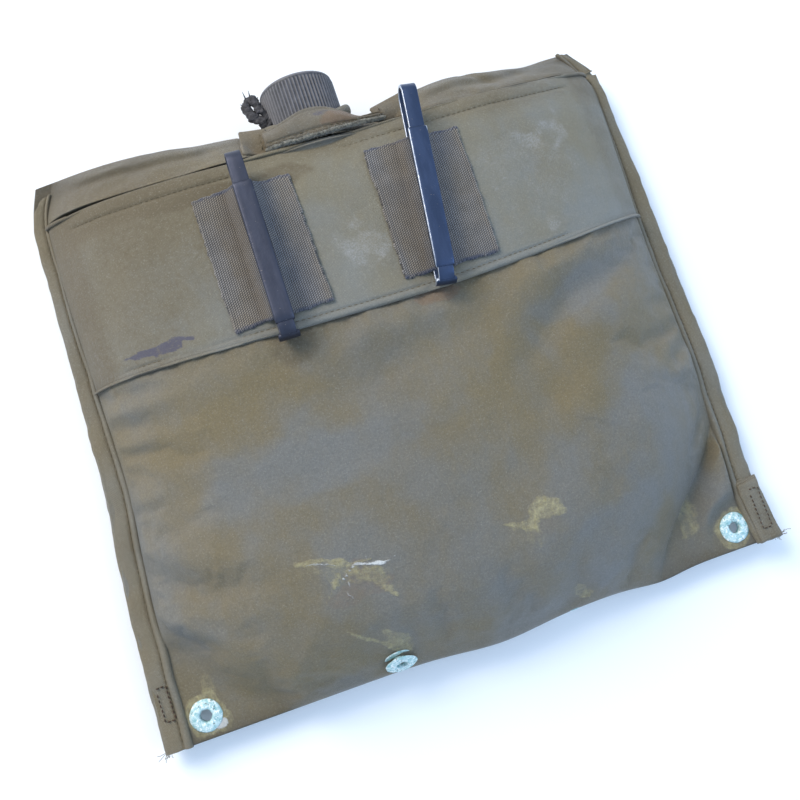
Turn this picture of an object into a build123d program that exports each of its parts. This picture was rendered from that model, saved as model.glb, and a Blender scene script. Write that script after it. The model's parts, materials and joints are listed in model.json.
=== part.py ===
"""Two-quart collapsible canteen in its cloth cover, lying on the cover's front face.

+X runs across the bag, +Y from the folded bottom edge to the cap, +Z out of the back of the bag.
The origin is under the middle of the whole object, on the surface that it rests on.
"""

from build123d import *
from math import atan2, cos, radians, sin
import os

# ---- overall size (millimetres) ----
overall_length = 252.0
cover_length = 240.0
bottom_half_width = 140.0
top_half_width = 133.0
bottom_y = -overall_length / 2
top_y = bottom_y + cover_length

# ---- cloth layers, counted inward from the cover's outer surface ----
cloth = 1.2
pile = 2.0
layer_gap = 0.1
lining_inset = cloth + layer_gap
bottle_inset = lining_inset + pile + 0.3
bottle_wall = 1.8

# ---- pouch: a domed back above the seam plane, a shallow pan below it ----
seam_z = 9.0
dome_rise = 39.0
tape_width = 10.5
pouch_bottom_half_width = bottom_half_width - tape_width - 0.5
pouch_top_half_width = top_half_width - tape_width - 0.5
dome_runs = {"side": 50.0, "low": 70.0, "high": 32.0}
pan_runs = {"side": 24.0, "low": 14.0, "high": 14.0}
pouch_low_corner = 54.0
pouch_high_corner = 40.0
corner_shrink = 20.0
start_angle = 15
step_angle = 15

# ---- mouth ----
hem_y = bottom_y + 219.5
band_y = bottom_y + 224.5

# ---- hanger panel and its stiffener ----
hanger_low_y = bottom_y + 147.0
hanger_high_y = hem_y - 2.5
board_half_width = 78.0
hanger_top_z = seam_z + dome_rise + 2.4

# ---- belt clips and their webbing keepers ----
strip_width = 6.35
strip_thick = 1.5
back_leg_z = hanger_top_z + 1.0
front_leg_z = back_leg_z + 10.3
loop_radius = (front_leg_z - back_leg_z) / 2
foot_tongue_end = 10.5
front_leg_end = 20.0
slide_start = 6.0
slide_length = 58.0
slide_width = 8.6
slide_wall = 1.0
slide_clearance = 0.1
keeper_width = 40.0
keeper_length = 55.0
keeper_thick = 1.6
tunnel_width = 8.0
clips = {
    "left": {"foot": (-42.2, bottom_y + 140.1), "lean": 0.6, "length": 78.5, "keeper_x": -41.5},
    "right": {"foot": (23.1, bottom_y + 142.6), "lean": 7.6, "length": 84.5, "keeper_x": 29.5},
}
keeper_y = bottom_y + 176.8

# ---- neck and cap, on one axis along +Y ----
neck_x = -5.0
neck_z = 24.0
neck_radius = 13.0
neck_bore = 10.5
neck_top_y = bottom_y + 247.8
cap_radius = 16.5
cap_wall_radius = 14.6
cap_low_y = bottom_y + 229.0
cap_high_y = bottom_y + overall_length
cap_top_thick = 2.4
rib_count = 64
rib_radius = 0.5
thread_pitch = 5.0
thread_turns = 1.5
thread_depth = 1.2
neck_hole_radius = 19.9
strap_inner_radius = neck_radius + 0.15

# ---- collar behind the neck ----
collar_low_x = -27.0
collar_high_x = 25.0
collar_low_y = bottom_y + 208.5
collar_high_y = bottom_y + 229.5

# ---- eyelets ----
eyelet_flange = 6.8
eyelet_thick = 0.8
eyelet_bore = 2.5
eyelet_barrel = 3.2
eyelet_hole = 3.3
corner_eyelet_x = 120.0
corner_eyelet_y = bottom_y + 10.4
drain_eyelet_x = 38.4


def pouch_section(height, side, low, high, low_corner, high_corner):
    """One level of the pouch: a tapered rectangle with rounded corners, inset from its seam line."""
    low_half = pouch_bottom_half_width - side
    high_half = pouch_top_half_width - side
    with BuildSketch(Plane.XY.offset(height)) as level:
        with BuildLine():
            Polyline(
                (-low_half, bottom_y + low),
                (low_half, bottom_y + low),
                (high_half, top_y - high),
                (-high_half, top_y - high),
                close=True,
            )
        make_face()
        fillet(level.vertices().group_by(Axis.Y)[0], low_corner)
        fillet(level.vertices().group_by(Axis.Y)[-1], high_corner)
    return level.sketch


def pouch_half(rise, runs, inset, short=0.0, mode=Mode.ADD):
    """Half of the pouch from the seam plane to its crown, on an elliptic profile, inset all over."""
    first_sin = sin(radians(start_angle))
    first_cos = cos(radians(start_angle))
    inner_rise = rise - inset if rise > 0 else rise + inset
    levels = []
    for angle in range(start_angle, 91, step_angle):
        up = (sin(radians(angle)) - first_sin) / (1 - first_sin)
        inward = 1 - cos(radians(angle)) / first_cos
        level = pouch_section(
            seam_z + inner_rise * up,
            inset + runs["side"] * inward,
            inset + runs["low"] * inward,
            inset + short + runs["high"] * inward,
            pouch_low_corner - corner_shrink * inward,
            pouch_high_corner - corner_shrink * inward,
        )
        levels.append(level)
    loft(levels, ruled=True, mode=mode)


def seam_flange(amount):
    """The flat margin of cloth round the pouch, as far as the tapes let it reach."""
    low_half = bottom_half_width - 1.1
    high_half = top_half_width - 1.1
    with BuildSketch(Plane.XY.offset(seam_z)) as margin:
        with BuildLine():
            Polyline(
                (-low_half, bottom_y),
                (low_half, bottom_y),
                (high_half, top_y),
                (-high_half, top_y),
                close=True,
            )
        make_face()
    extrude(margin.sketch, amount=amount)


def across(y):
    """A plane across the bag at y, facing the cap."""
    return Plane(origin=(0, y, 0), x_dir=(1, 0, 0), z_dir=(0, 1, 0))


def keep_block(low, high):
    """Keep only what lies between two opposite corners."""
    with BuildSketch(Plane.XY.offset(low[2])) as footprint:
        with Locations(((low[0] + high[0]) / 2, (low[1] + high[1]) / 2)):
            Rectangle(high[0] - low[0], high[1] - low[1])
    extrude(footprint.sketch, amount=high[2] - low[2], mode=Mode.INTERSECT)


def conformal_patch(outer, inner, low, high):
    """A layer that follows the dome between two outsets, cut to a block."""
    pouch_half(dome_rise, dome_runs, -outer)
    pouch_half(dome_rise, dome_runs, -inner, mode=Mode.SUBTRACT)
    keep_block(low, high)


def neck_section(y):
    """A plane square to the neck's axis."""
    return Plane(origin=(neck_x, y, neck_z), x_dir=(1, 0, 0), z_dir=(0, 1, 0))


def cut_neck_hole():
    """The round hole at the top of the bag that the neck and cap stand in."""
    with BuildSketch(neck_section(band_y - 4)) as hole:
        Circle(neck_hole_radius)
    extrude(hole.sketch, amount=40, mode=Mode.SUBTRACT)


def drain_plane(side):
    """The plane of a drain eyelet, at the middle of the dome's lowest slope."""
    slope_up = (sin(radians(30)) - sin(radians(15))) / (1 - sin(radians(15))) * dome_rise
    slope_in = (1 - cos(radians(30)) / cos(radians(15))) * dome_runs["low"]
    tilt = atan2(slope_in, slope_up)
    return Plane(
        origin=(side * drain_eyelet_x, bottom_y + slope_in / 2, seam_z + slope_up / 2),
        x_dir=(1, 0, 0),
        z_dir=(0, -cos(tilt), sin(tilt)),
    )


def corner_plane(side):
    """The plane of a corner eyelet, on top of the two flat layers of cloth."""
    return Plane(origin=(side * corner_eyelet_x, corner_eyelet_y, seam_z + cloth))


def cut_hole(plane, radius, depth):
    """A round hole through the cloth, down from a plane just above its surface."""
    with BuildSketch(plane.offset(2)) as hole:
        Circle(radius)
    extrude(hole.sketch, amount=-(depth + 2), mode=Mode.SUBTRACT)


def cut_seat(plane, radius):
    """Clear the outer surface above a plane, so that a flange lies flat on it."""
    with BuildSketch(plane) as seat:
        Circle(radius)
    extrude(seat.sketch, amount=4, mode=Mode.SUBTRACT)


def revolve_ring(plane, points):
    """A ring turned about a plane's normal; each point is (radius, height)."""
    with BuildSketch(Plane(origin=plane.origin, x_dir=plane.x_dir, z_dir=plane.y_dir * -1)) as profile:
        Polygon(*points, align=None)
    revolve(profile.sketch, axis=Axis(plane.origin, plane.z_dir))


def eyelet(plane, grip):
    """Flange on the outside, barrel through the cloth, rolled edge behind the washer."""
    roll = -(grip + 2 * layer_gap + eyelet_thick)
    revolve_ring(
        plane,
        [
            (eyelet_bore, eyelet_thick * 0.6),
            (eyelet_bore + 0.6, eyelet_thick + layer_gap / 2),
            (eyelet_flange - 1.2, eyelet_thick + layer_gap / 2),
            (eyelet_flange, layer_gap / 2 + 0.2),
            (eyelet_flange, layer_gap / 2),
            (eyelet_barrel, layer_gap / 2),
            (eyelet_barrel, roll),
            (eyelet_barrel + 1.0, roll),
            (eyelet_barrel + 1.0, roll - 0.5),
            (eyelet_bore, roll - 0.5),
        ],
    )


def washer(plane, grip):
    """The flat ring behind the cloth that an eyelet is set on."""
    top = -(grip + layer_gap / 2)
    revolve_ring(
        plane,
        [
            (eyelet_hole, top),
            (eyelet_flange, top),
            (eyelet_flange, top - eyelet_thick),
            (eyelet_hole, top - eyelet_thick),
        ],
    )


def finish(piece, name):
    """Name a finished piece and write it."""
    piece.part.label = name
    export_step(piece.part, f"parts/{name}.step")


os.makedirs("parts", exist_ok=True)
both_sides = (-1, 1)
corner_grip = 2 * cloth
drain_grip = cloth

# ======== cover ========
with BuildPart() as top_band:
    pouch_half(dome_rise, dome_runs, 0)
    seam_flange(cloth)
    pouch_half(dome_rise, dome_runs, cloth, mode=Mode.SUBTRACT)
    split(bisect_by=across(band_y), keep=Keep.TOP)
    cut_neck_hole()
finish(top_band, "top_band")

with BuildPart() as front_panel:
    pouch_half(-seam_z, pan_runs, 0)
    seam_flange(-cloth)
    pouch_half(-seam_z, pan_runs, cloth, mode=Mode.SUBTRACT)
    cut_neck_hole()
    for side in both_sides:
        cut_hole(corner_plane(side), eyelet_hole, 2 * corner_grip)
finish(front_panel, "front_panel")

with BuildPart() as back_panel:
    pouch_half(dome_rise, dome_runs, 0)
    seam_flange(cloth)
    pouch_half(dome_rise, dome_runs, cloth, mode=Mode.SUBTRACT)
    split(bisect_by=across(hem_y), keep=Keep.BOTTOM)
    for side in both_sides:
        cut_hole(corner_plane(side), eyelet_hole, 2 * corner_grip)
        cut_hole(drain_plane(side), eyelet_hole, drain_grip + 2)
        cut_seat(drain_plane(side), eyelet_flange + 0.3)
finish(back_panel, "back_panel")

with BuildPart() as front_lining:
    pouch_half(-seam_z, pan_runs, lining_inset, short=8)
    pouch_half(-seam_z, pan_runs, lining_inset + pile, short=8, mode=Mode.SUBTRACT)
    cut_neck_hole()
    for side in both_sides:
        cut_hole(drain_plane(side), eyelet_flange + 0.8, drain_grip + 6)
finish(front_lining, "front_lining")

with BuildPart() as back_lining:
    pouch_half(dome_rise, dome_runs, lining_inset)
    pouch_half(dome_rise, dome_runs, lining_inset + pile, mode=Mode.SUBTRACT)
    split(bisect_by=across(hem_y - 5), keep=Keep.BOTTOM)
    for side in both_sides:
        cut_hole(drain_plane(side), eyelet_flange + 0.8, drain_grip + 6)
finish(back_lining, "back_lining")

hanger_base_z = seam_z + 2.4
crown_z = seam_z + dome_rise + 20
with BuildPart() as stiffener_board:
    conformal_patch(
        cloth,
        layer_gap / 2,
        (-board_half_width, hanger_low_y + 4, hanger_base_z),
        (board_half_width, hanger_high_y - 6, crown_z),
    )
finish(stiffener_board, "stiffener_board")

with BuildPart() as hanger_panel:
    conformal_patch(
        2 * cloth,
        cloth + layer_gap,
        (-bottom_half_width, hanger_low_y, hanger_base_z),
        (bottom_half_width, hanger_high_y, crown_z),
    )
finish(hanger_panel, "hanger_panel")


def binding_tape(side):
    """A tape folded over the long edge of the flange, from the bottom edge to the top."""
    depth = cloth + layer_gap + 1.0
    for z, amount, inward, mode in (
        (seam_z - depth, 2 * depth, 0.0, Mode.ADD),
        (seam_z - depth + 1.0, 2 * depth - 2.0, 1.0, Mode.SUBTRACT),
    ):
        low_x = side * (bottom_half_width - inward)
        high_x = side * (top_half_width - inward)
        across_tape = -side * tape_width
        with BuildSketch(Plane.XY.offset(z)) as strip:
            with BuildLine():
                Polyline(
                    (low_x, bottom_y),
                    (high_x, top_y),
                    (high_x + across_tape, top_y),
                    (low_x + across_tape, bottom_y),
                    close=True,
                )
            make_face()
        extrude(strip.sketch, amount=amount, mode=mode)


for side, side_name in zip(both_sides, ("left", "right")):
    with BuildPart() as binding:
        binding_tape(side)
    finish(binding, f"binding_{side_name}")

tab_length = 29.0
tab_z = seam_z + cloth + 1.0 + 2 * layer_gap
tab_narrowing = (bottom_half_width - top_half_width) * tab_length / cover_length
with BuildPart() as binding_end_tab:
    with BuildSketch(Plane.XY.offset(tab_z)):
        with BuildLine():
            Polyline(
                (bottom_half_width, bottom_y + 0.5),
                (bottom_half_width - tab_narrowing, bottom_y + tab_length),
                (bottom_half_width - tab_narrowing - tape_width, bottom_y + tab_length),
                (bottom_half_width - tape_width, bottom_y + 0.5),
                close=True,
            )
        make_face()
    extrude(amount=cloth)
finish(binding_end_tab, "binding_end_tab")

# ======== collar and its closure ========
collar_root_z = seam_z + 12
tab_root_z = seam_z + 23
collar_layers = {
    "hook_tape": (3.5, 2.5, (collar_low_x + 1, collar_low_y + 1), (collar_high_x - 1, hanger_high_y)),
    "loop_tape": (4.6, 3.6, (collar_low_x + 1, collar_low_y + 1), (collar_high_x - 1, hanger_high_y)),
    "collar_tongue": (6.0, 4.7, (collar_low_x, collar_low_y), (collar_high_x, collar_high_y)),
    "collar_tab_left": (4.6, 0.1, (collar_low_x - 11, band_y + 0.2), (collar_low_x + 4, top_y - 4)),
    "collar_tab_right": (4.6, 0.1, (collar_high_x - 8, band_y + 0.2), (collar_high_x + 5, top_y - 4)),
}
for layer_name, (outer, inner, low, high) in collar_layers.items():
    with BuildPart() as layer:
        root_z = tab_root_z if layer_name.startswith("collar_tab") else collar_root_z
        conformal_patch(outer, inner, (*low, root_z), (*high, crown_z))
    finish(layer, layer_name)

# ======== eyelets ========
with BuildPart() as corner_eyelets:
    for side in both_sides:
        eyelet(corner_plane(side), corner_grip)
finish(corner_eyelets, "corner_eyelets")

with BuildPart() as corner_washers:
    for side in both_sides:
        washer(corner_plane(side), corner_grip)
finish(corner_washers, "corner_washers")

with BuildPart() as drain_eyelets:
    for side in both_sides:
        eyelet(drain_plane(side), drain_grip)
finish(drain_eyelets, "drain_eyelets")

with BuildPart() as drain_washers:
    for side in both_sides:
        washer(drain_plane(side), drain_grip)
finish(drain_washers, "drain_washers")

# ======== bottle ========
shoulder_drop = 10.0
neck_plane = Plane(origin=(neck_x, bottom_y, neck_z))
neck_axis = Axis((neck_x, bottom_y, neck_z), (0, 1, 0))


def turned(points, mode=Mode.ADD):
    """A solid turned about the neck's axis; each point is (radius, distance from the bottom edge)."""
    with BuildSketch(neck_plane) as profile:
        Polygon(*points, align=None)
    revolve(profile.sketch, axis=neck_axis, mode=mode)


def thread_ridge(root_radius, crest_radius, start_y):
    """A helical ridge between two radii, wider at its root than at its crest."""
    middle = (root_radius + crest_radius) / 2
    half_depth = abs(crest_radius - root_radius) / 2
    outward = 1 if crest_radius > root_radius else -1
    with BuildLine() as path:
        Helix(
            pitch=thread_pitch,
            height=thread_pitch * thread_turns,
            radius=middle,
            center=(neck_x, start_y, neck_z),
            direction=(0, 1, 0),
        )
    start = path.line @ 0
    outward_dir = (start - Vector(neck_x, start_y, neck_z)).normalized() * outward
    with BuildSketch(Plane(origin=start, x_dir=outward_dir, z_dir=path.line % 0)) as ridge:
        Polygon(
            (-half_depth, -1.1),
            (half_depth, -0.5),
            (half_depth, 0.5),
            (-half_depth, 1.1),
            align=None,
        )
    sweep(ridge.sketch, path=path.line, is_frenet=True)


neck_height = neck_top_y - bottom_y
with BuildPart() as bottle_body:
    pouch_half(dome_rise, dome_runs, bottle_inset, short=shoulder_drop)
    pouch_half(-seam_z, pan_runs, bottle_inset, short=shoulder_drop)
    turned([(0, 205), (neck_radius, 205), (neck_radius, neck_height), (0, neck_height)])
    pouch_half(dome_rise, dome_runs, bottle_inset + bottle_wall, short=shoulder_drop, mode=Mode.SUBTRACT)
    pouch_half(-seam_z, pan_runs, bottle_inset + bottle_wall, short=shoulder_drop, mode=Mode.SUBTRACT)
    turned([(0, 200), (neck_bore, 200), (neck_bore, 249), (0, 249)], mode=Mode.SUBTRACT)
    thread_ridge(neck_radius - 0.3, neck_radius + thread_depth, bottom_y + 234.0)
finish(bottle_body, "bottle_body")

# ======== cap, gasket and strap ========
cap_height = cap_high_y - bottom_y
cap_base = cap_low_y - bottom_y
with BuildPart() as cap:
    with BuildSketch(neck_section(cap_low_y)):
        Circle(cap_radius - rib_radius)
        with PolarLocations(cap_radius - rib_radius, rib_count):
            Circle(rib_radius)
    extrude(amount=cap_height - cap_base - 1.6)
    turned(
        [
            (0, cap_height - 2.0),
            (cap_radius - 0.6, cap_height - 2.0),
            (cap_radius, cap_height - 1.4),
            (cap_radius - 0.3, cap_height - 0.4),
            (cap_radius - 1.2, cap_height),
            (0, cap_height),
        ]
    )
    inner_top = cap_height - cap_top_thick
    turned(
        [(0, cap_base), (cap_wall_radius, cap_base), (cap_wall_radius, inner_top), (0, inner_top)],
        mode=Mode.SUBTRACT,
    )
    thread_ridge(cap_wall_radius + 0.3, cap_wall_radius - thread_depth, bottom_y + 234.0 + thread_pitch / 2)
finish(cap, "cap")

with BuildPart() as cap_gasket:
    turned(
        [
            (neck_bore - 1, neck_height + 0.05),
            (cap_wall_radius - 0.1, neck_height + 0.05),
            (cap_wall_radius - 0.1, inner_top - 0.05),
            (neck_bore - 1, inner_top - 0.05),
        ]
    )
finish(cap_gasket, "cap_gasket")

strap_low = 226.4
strap_high = 228.4
with BuildPart() as cap_strap:
    turned(
        [
            (strap_inner_radius, strap_low),
            (cap_radius + 1.2, strap_low),
            (cap_radius + 1.2, strap_high),
            (strap_inner_radius, strap_high),
        ]
    )
    with BuildSketch(neck_section(bottom_y + strap_low)):
        with Locations((-(cap_radius + 1.6), 0)):
            Rectangle(2.0, 8.0)
    extrude(amount=19)
    with BuildSketch(neck_section(bottom_y + strap_low)):
        with Locations((-(cap_radius + 0.4), 0)):
            Rectangle(4.0, 8.0)
    extrude(amount=strap_high - strap_low)
finish(cap_strap, "cap_strap")


# ======== belt clips ========
def clip_planes(clip):
    """Planes of one clip at its foot: one across the strip's edge, one facing along the legs."""
    lean = radians(clip["lean"])
    along = Vector(sin(lean), cos(lean), 0)
    sideways = Vector(cos(lean), -sin(lean), 0)
    foot = (clip["foot"][0], clip["foot"][1], 0)
    return (
        Plane(origin=foot, x_dir=along, z_dir=sideways),
        Plane(origin=foot, x_dir=sideways * -1, z_dir=along),
    )


def clip_strip(edge_plane, clip_length):
    """The bent strip: back leg, top loop, short front leg, and a turned foot with a wider lip."""
    low_centre = loop_radius + strip_thick / 2
    high_centre = clip_length - low_centre
    middle_z = back_leg_z + loop_radius
    with BuildSketch(edge_plane) as strip_edge:
        with BuildLine():
            Line((foot_tongue_end, front_leg_z), (low_centre, front_leg_z))
            ThreePointArc(
                (low_centre, front_leg_z), (low_centre - loop_radius, middle_z), (low_centre, back_leg_z)
            )
            Line((low_centre, back_leg_z), (high_centre, back_leg_z))
            ThreePointArc(
                (high_centre, back_leg_z), (high_centre + loop_radius, middle_z), (high_centre, front_leg_z)
            )
            Line((high_centre, front_leg_z), (front_leg_end, front_leg_z))
        trace(line_width=strip_thick)
    extrude(strip_edge.sketch, amount=strip_width / 2, both=True)
    lip_cos = loop_radius * cos(radians(10))
    lip_sin = loop_radius * sin(radians(10))
    half_cos = loop_radius * cos(radians(50))
    half_sin = loop_radius * sin(radians(50))
    with BuildSketch(edge_plane) as lip_edge:
        with BuildLine():
            ThreePointArc(
                (low_centre - lip_sin, middle_z + lip_cos),
                (low_centre - half_sin, middle_z + half_cos),
                (low_centre - loop_radius, middle_z),
            )
        trace(line_width=strip_thick)
    extrude(lip_edge.sketch, amount=slide_width / 2, both=True)


def clip_slide(end_plane):
    """A channel that wraps the front leg, with its lips turned in under the strip's edges."""
    inner_half = strip_width / 2 + slide_clearance
    inner_low = front_leg_z - strip_thick / 2 - slide_clearance
    inner_high = front_leg_z + strip_thick / 2 + slide_clearance
    lip_thick = 0.85
    lip_reach = 1.5
    with BuildSketch(end_plane.offset(slide_start)) as channel:
        with BuildLine():
            Polyline(
                (-slide_width / 2, inner_low - lip_thick),
                (-slide_width / 2, inner_high + slide_wall - 0.7),
                (-slide_width / 2 + 0.7, inner_high + slide_wall),
                (slide_width / 2 - 0.7, inner_high + slide_wall),
                (slide_width / 2, inner_high + slide_wall - 0.7),
                (slide_width / 2, inner_low - lip_thick),
                (inner_half - lip_reach, inner_low - lip_thick),
                (inner_half - lip_reach, inner_low),
                (inner_half, inner_low),
                (inner_half, inner_high),
                (-inner_half, inner_high),
                (-inner_half, inner_low),
                (-inner_half + lip_reach, inner_low),
                (-inner_half + lip_reach, inner_low - lip_thick),
                close=True,
            )
        make_face()
    extrude(channel.sketch, amount=slide_length)


def webbing_keeper(clip, end_plane):
    """A webbing patch with a raised tunnel for the clip's back leg, open at both ends."""
    base = hanger_top_z + layer_gap / 2
    roof = back_leg_z + strip_thick / 2 + 0.25
    with BuildSketch(Plane.XY.offset(base)) as patch:
        with Locations((clip["keeper_x"], keeper_y)):
            Rectangle(keeper_width, keeper_length)
    extrude(patch.sketch, amount=keeper_thick)
    with BuildSketch(end_plane) as hump:
        Polygon(
            (-tunnel_width / 2 - 4, base),
            (-tunnel_width / 2, roof + keeper_thick * 0.9),
            (tunnel_width / 2, roof + keeper_thick * 0.9),
            (tunnel_width / 2 + 4, base),
            align=None,
        )
    extrude(hump.sketch, amount=clip["length"])
    extrude(patch.sketch, amount=keeper_thick + 10, mode=Mode.INTERSECT)
    with BuildSketch(end_plane.offset(-5)) as tunnel:
        with Locations((0, (base - 1 + roof) / 2)):
            Rectangle(tunnel_width, roof - base + 1)
    extrude(tunnel.sketch, amount=clip["length"] + 20, mode=Mode.SUBTRACT)


for clip_name, clip in clips.items():
    edge_plane, end_plane = clip_planes(clip)
    with BuildPart() as keeper:
        webbing_keeper(clip, end_plane)
    finish(keeper, f"webbing_keeper_{clip_name}")
    with BuildPart() as strip:
        clip_strip(edge_plane, clip["length"])
    finish(strip, f"clip_{clip_name}")
    with BuildPart() as slide:
        clip_slide(end_plane)
    finish(slide, f"clip_slide_{clip_name}")
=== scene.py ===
"""Visual model of the canteen in its cloth cover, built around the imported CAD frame.

Lengths inside this script are in millimetres, and y is counted from the cover's bottom edge.
"""

import json
import math
import bpy
import numpy as np
from mathutils import Matrix, Vector

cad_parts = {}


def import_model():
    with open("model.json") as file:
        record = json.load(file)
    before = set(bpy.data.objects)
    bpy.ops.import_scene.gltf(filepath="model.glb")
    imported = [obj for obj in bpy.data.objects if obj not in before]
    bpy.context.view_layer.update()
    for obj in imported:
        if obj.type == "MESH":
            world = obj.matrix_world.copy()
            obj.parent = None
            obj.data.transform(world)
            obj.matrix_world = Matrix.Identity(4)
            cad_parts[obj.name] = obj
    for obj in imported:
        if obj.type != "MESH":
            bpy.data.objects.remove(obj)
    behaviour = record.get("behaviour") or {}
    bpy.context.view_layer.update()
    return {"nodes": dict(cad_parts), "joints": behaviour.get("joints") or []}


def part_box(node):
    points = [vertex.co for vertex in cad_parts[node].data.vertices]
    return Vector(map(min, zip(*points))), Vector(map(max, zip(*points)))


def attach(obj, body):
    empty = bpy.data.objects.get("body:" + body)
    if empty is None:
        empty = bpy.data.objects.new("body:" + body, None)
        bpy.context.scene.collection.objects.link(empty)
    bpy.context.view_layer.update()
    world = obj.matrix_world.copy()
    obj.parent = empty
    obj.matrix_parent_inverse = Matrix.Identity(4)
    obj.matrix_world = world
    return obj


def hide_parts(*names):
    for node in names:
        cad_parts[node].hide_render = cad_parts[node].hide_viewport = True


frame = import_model()
nodes = frame["nodes"]

# ======== sizes that come from the frame ========
MM = 1000.0
panel_low, panel_high = (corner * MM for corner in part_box("front_panel"))
EDGE_Y = panel_low.y
COVER = panel_high.y - panel_low.y
SEAM = sum(corner.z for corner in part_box("binding_left")) / 2 * MM
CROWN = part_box("back_panel")[1].z * MM
RISE = CROWN - SEAM
CLOTH = 1.2
FLAT = SEAM + CLOTH + 0.05
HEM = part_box("back_panel")[1].y * MM - EDGE_Y
cap_low, cap_high = (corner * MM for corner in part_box("cap"))
NECK_X = (cap_low.x + cap_high.x) / 2
NECK_Z = (cap_low.z + cap_high.z) / 2
CAP_R = (cap_high.x - cap_low.x) / 2
PANEL_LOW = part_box("hanger_panel")[0].y * MM - EDGE_Y
tape_low, tape_high = (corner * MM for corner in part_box("binding_right"))
TAPE_WIDE = 10.5
BOTTOM_HALF = tape_high.x
TOP_HALF = tape_low.x + TAPE_WIDE
FLANGE = 6.8
corner_low, corner_high = (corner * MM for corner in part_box("corner_eyelets"))
EYELET_X = corner_high.x - FLANGE
EYELET_Y = (corner_low.y + corner_high.y) / 2 - EDGE_Y
DRAIN_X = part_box("drain_eyelets")[1].x * MM - FLANGE
TONGUE_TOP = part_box("collar_tongue")[1].y * MM - EDGE_Y
CAP_LOW = cap_low.y - EDGE_Y
CAP_HIGH = cap_high.y - EDGE_Y
NECK_HOLE = 19.3
UP = (0, 0, 1)

# ======== how the cloth is settled ========
FRAMES = 20
PRESSURE = 4
EXCESS = 0.02
LEAST, MOST = (-1.2, -1.2, -0.9), (1.2, 1.2, 3.2)


# ======== numbers and curves ========
def smooth(value):
    """0 below 0, 1 above 1, and a soft step between."""
    value = np.clip(value, 0, 1)
    return value * value * (3 - 2 * value)


def hump(x, height, middle, width):
    """A soft rise of some height, or a dip where it is negative."""
    return height * np.exp(-(((x - middle) / width) ** 2))


def noise(x, y, size, seed):
    """Smooth lattice noise from -1 to 1, with lumps about one size across."""
    lattice = np.random.RandomState(seed).uniform(-1, 1, (64, 64))
    u, v = np.asarray(x) / size + 512.3, np.asarray(y) / size + 512.7
    i, j = np.floor(u).astype(int), np.floor(v).astype(int)
    a, b = smooth(u - i), smooth(v - j)
    i, j, k, m = i % 64, j % 64, (i + 1) % 64, (j + 1) % 64
    near = lattice[i, j] * (1 - a) + lattice[k, j] * a
    far = lattice[i, m] * (1 - a) + lattice[k, m] * a
    return near * (1 - b) + far * b


def rough(x, y, size, seed, steps=3):
    """Several sizes of noise added up, each half the last."""
    total = sum(noise(x, y, size / 2**i, seed + i) / 2**i for i in range(steps))
    return total / sum(1 / 2**i for i in range(steps))


def blob(x, y, centre, radii, seed, ragged=0.5, turn=0.0, size=7.0):
    """1 inside a ragged ellipse, 0 outside, soft at its edge."""
    c, s = math.cos(math.radians(turn)), math.sin(math.radians(turn))
    dx, dy = x - centre[0], y - centre[1]
    reach = np.hypot((dx * c + dy * s) / radii[0], (dy * c - dx * s) / radii[1])
    return smooth((1.15 - reach + ragged * rough(x, y, size, seed)) * 2.2)


def along(x, y, points):
    """Signed distance to a broken line, left of it positive, and how far along it, from 0 to 1."""
    points = np.array(points, float)
    lengths = np.hypot(*np.diff(points, axis=0).T)
    best = np.full(np.shape(x), 1e9)
    side, place = np.zeros_like(best), np.zeros_like(best)
    gone = 0.0
    for a, b, length in zip(points[:-1], points[1:], lengths):
        dx, dy = (b - a) / length
        t = np.clip((x - a[0]) * dx + (y - a[1]) * dy, 0, length)
        away = np.hypot(x - a[0] - t * dx, y - a[1] - t * dy)
        cross = dx * (y - a[1]) - dy * (x - a[0])
        near = away < best
        best = np.where(near, away, best)
        side = np.where(near, np.sign(cross), side)
        place = np.where(near, (gone + t) / lengths.sum(), place)
        gone += length
    return best * side, place


def fold(x, y, points, width, depth, roll=0.0, fade=(0.2, 0.5)):
    """A valley along a line, with a raised roll on its left (roll above 0) or right side."""
    away, place = along(x, y, points)
    ends = smooth(place / fade[0]) if fade[0] else 1.0
    ends = ends * (smooth((1 - place) / fade[1]) if fade[1] else 1.0)
    valley = -np.exp(-((away / width) ** 2))
    beside = abs(roll) * np.exp(-(((away - math.copysign(1.7 * width, roll)) / (1.3 * width)) ** 2))
    return ends * depth * (valley + beside)


# ======== the bag's outline ========
def straight_edge(y):
    """Half of the cover's width in the CAD, whose sides are straight."""
    return BOTTOM_HALF + (TOP_HALF - BOTTOM_HALF) * y / COVER


def left_edge(y):
    """Drawn in above the middle, and round at its top corner."""
    return 3.0 * smooth((y - 50) / 70) + 8.0 * smooth((y - 224) / 30) - straight_edge(y)


def right_edge(y):
    """Pinched beside the flat corner, fuller above it, and round at its top corner."""
    return (
        straight_edge(y) - hump(y, 2.8, 24, 26) + 1.2 * smooth((y - 60) / 30)
        - 13.0 * smooth((y - 218) / 34)
    )


def left_seam(y):
    """The tapes show less of their width towards the top, where the cover turns under."""
    return left_edge(y) + TAPE_WIDE - 4.2 * smooth((y - 90) / 120)


def right_seam(y):
    """The same on the right."""
    return right_edge(y) - TAPE_WIDE + 4.2 * smooth((y - 130) / 90)


def bottom_edge(x):
    """The folded edge sags in the middle and again on the right."""
    return 0.8 - hump(x, 3.0, 6, 24) - hump(x, 1.8, 80, 13)


def top_edge(x):
    """High at the left, pulled down round the neck, with a small wave at the right."""
    return COVER + hump(x, 6.5, -100, 48) - hump(x, 4.5, 5, 32) + hump(x, 1.5, 62, 18) - hump(x, 1.5, 98, 11)


def mouth(x):
    """The hem rises towards the side seams."""
    return HEM + 6.0 * abs(x / 120) ** 3


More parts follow.
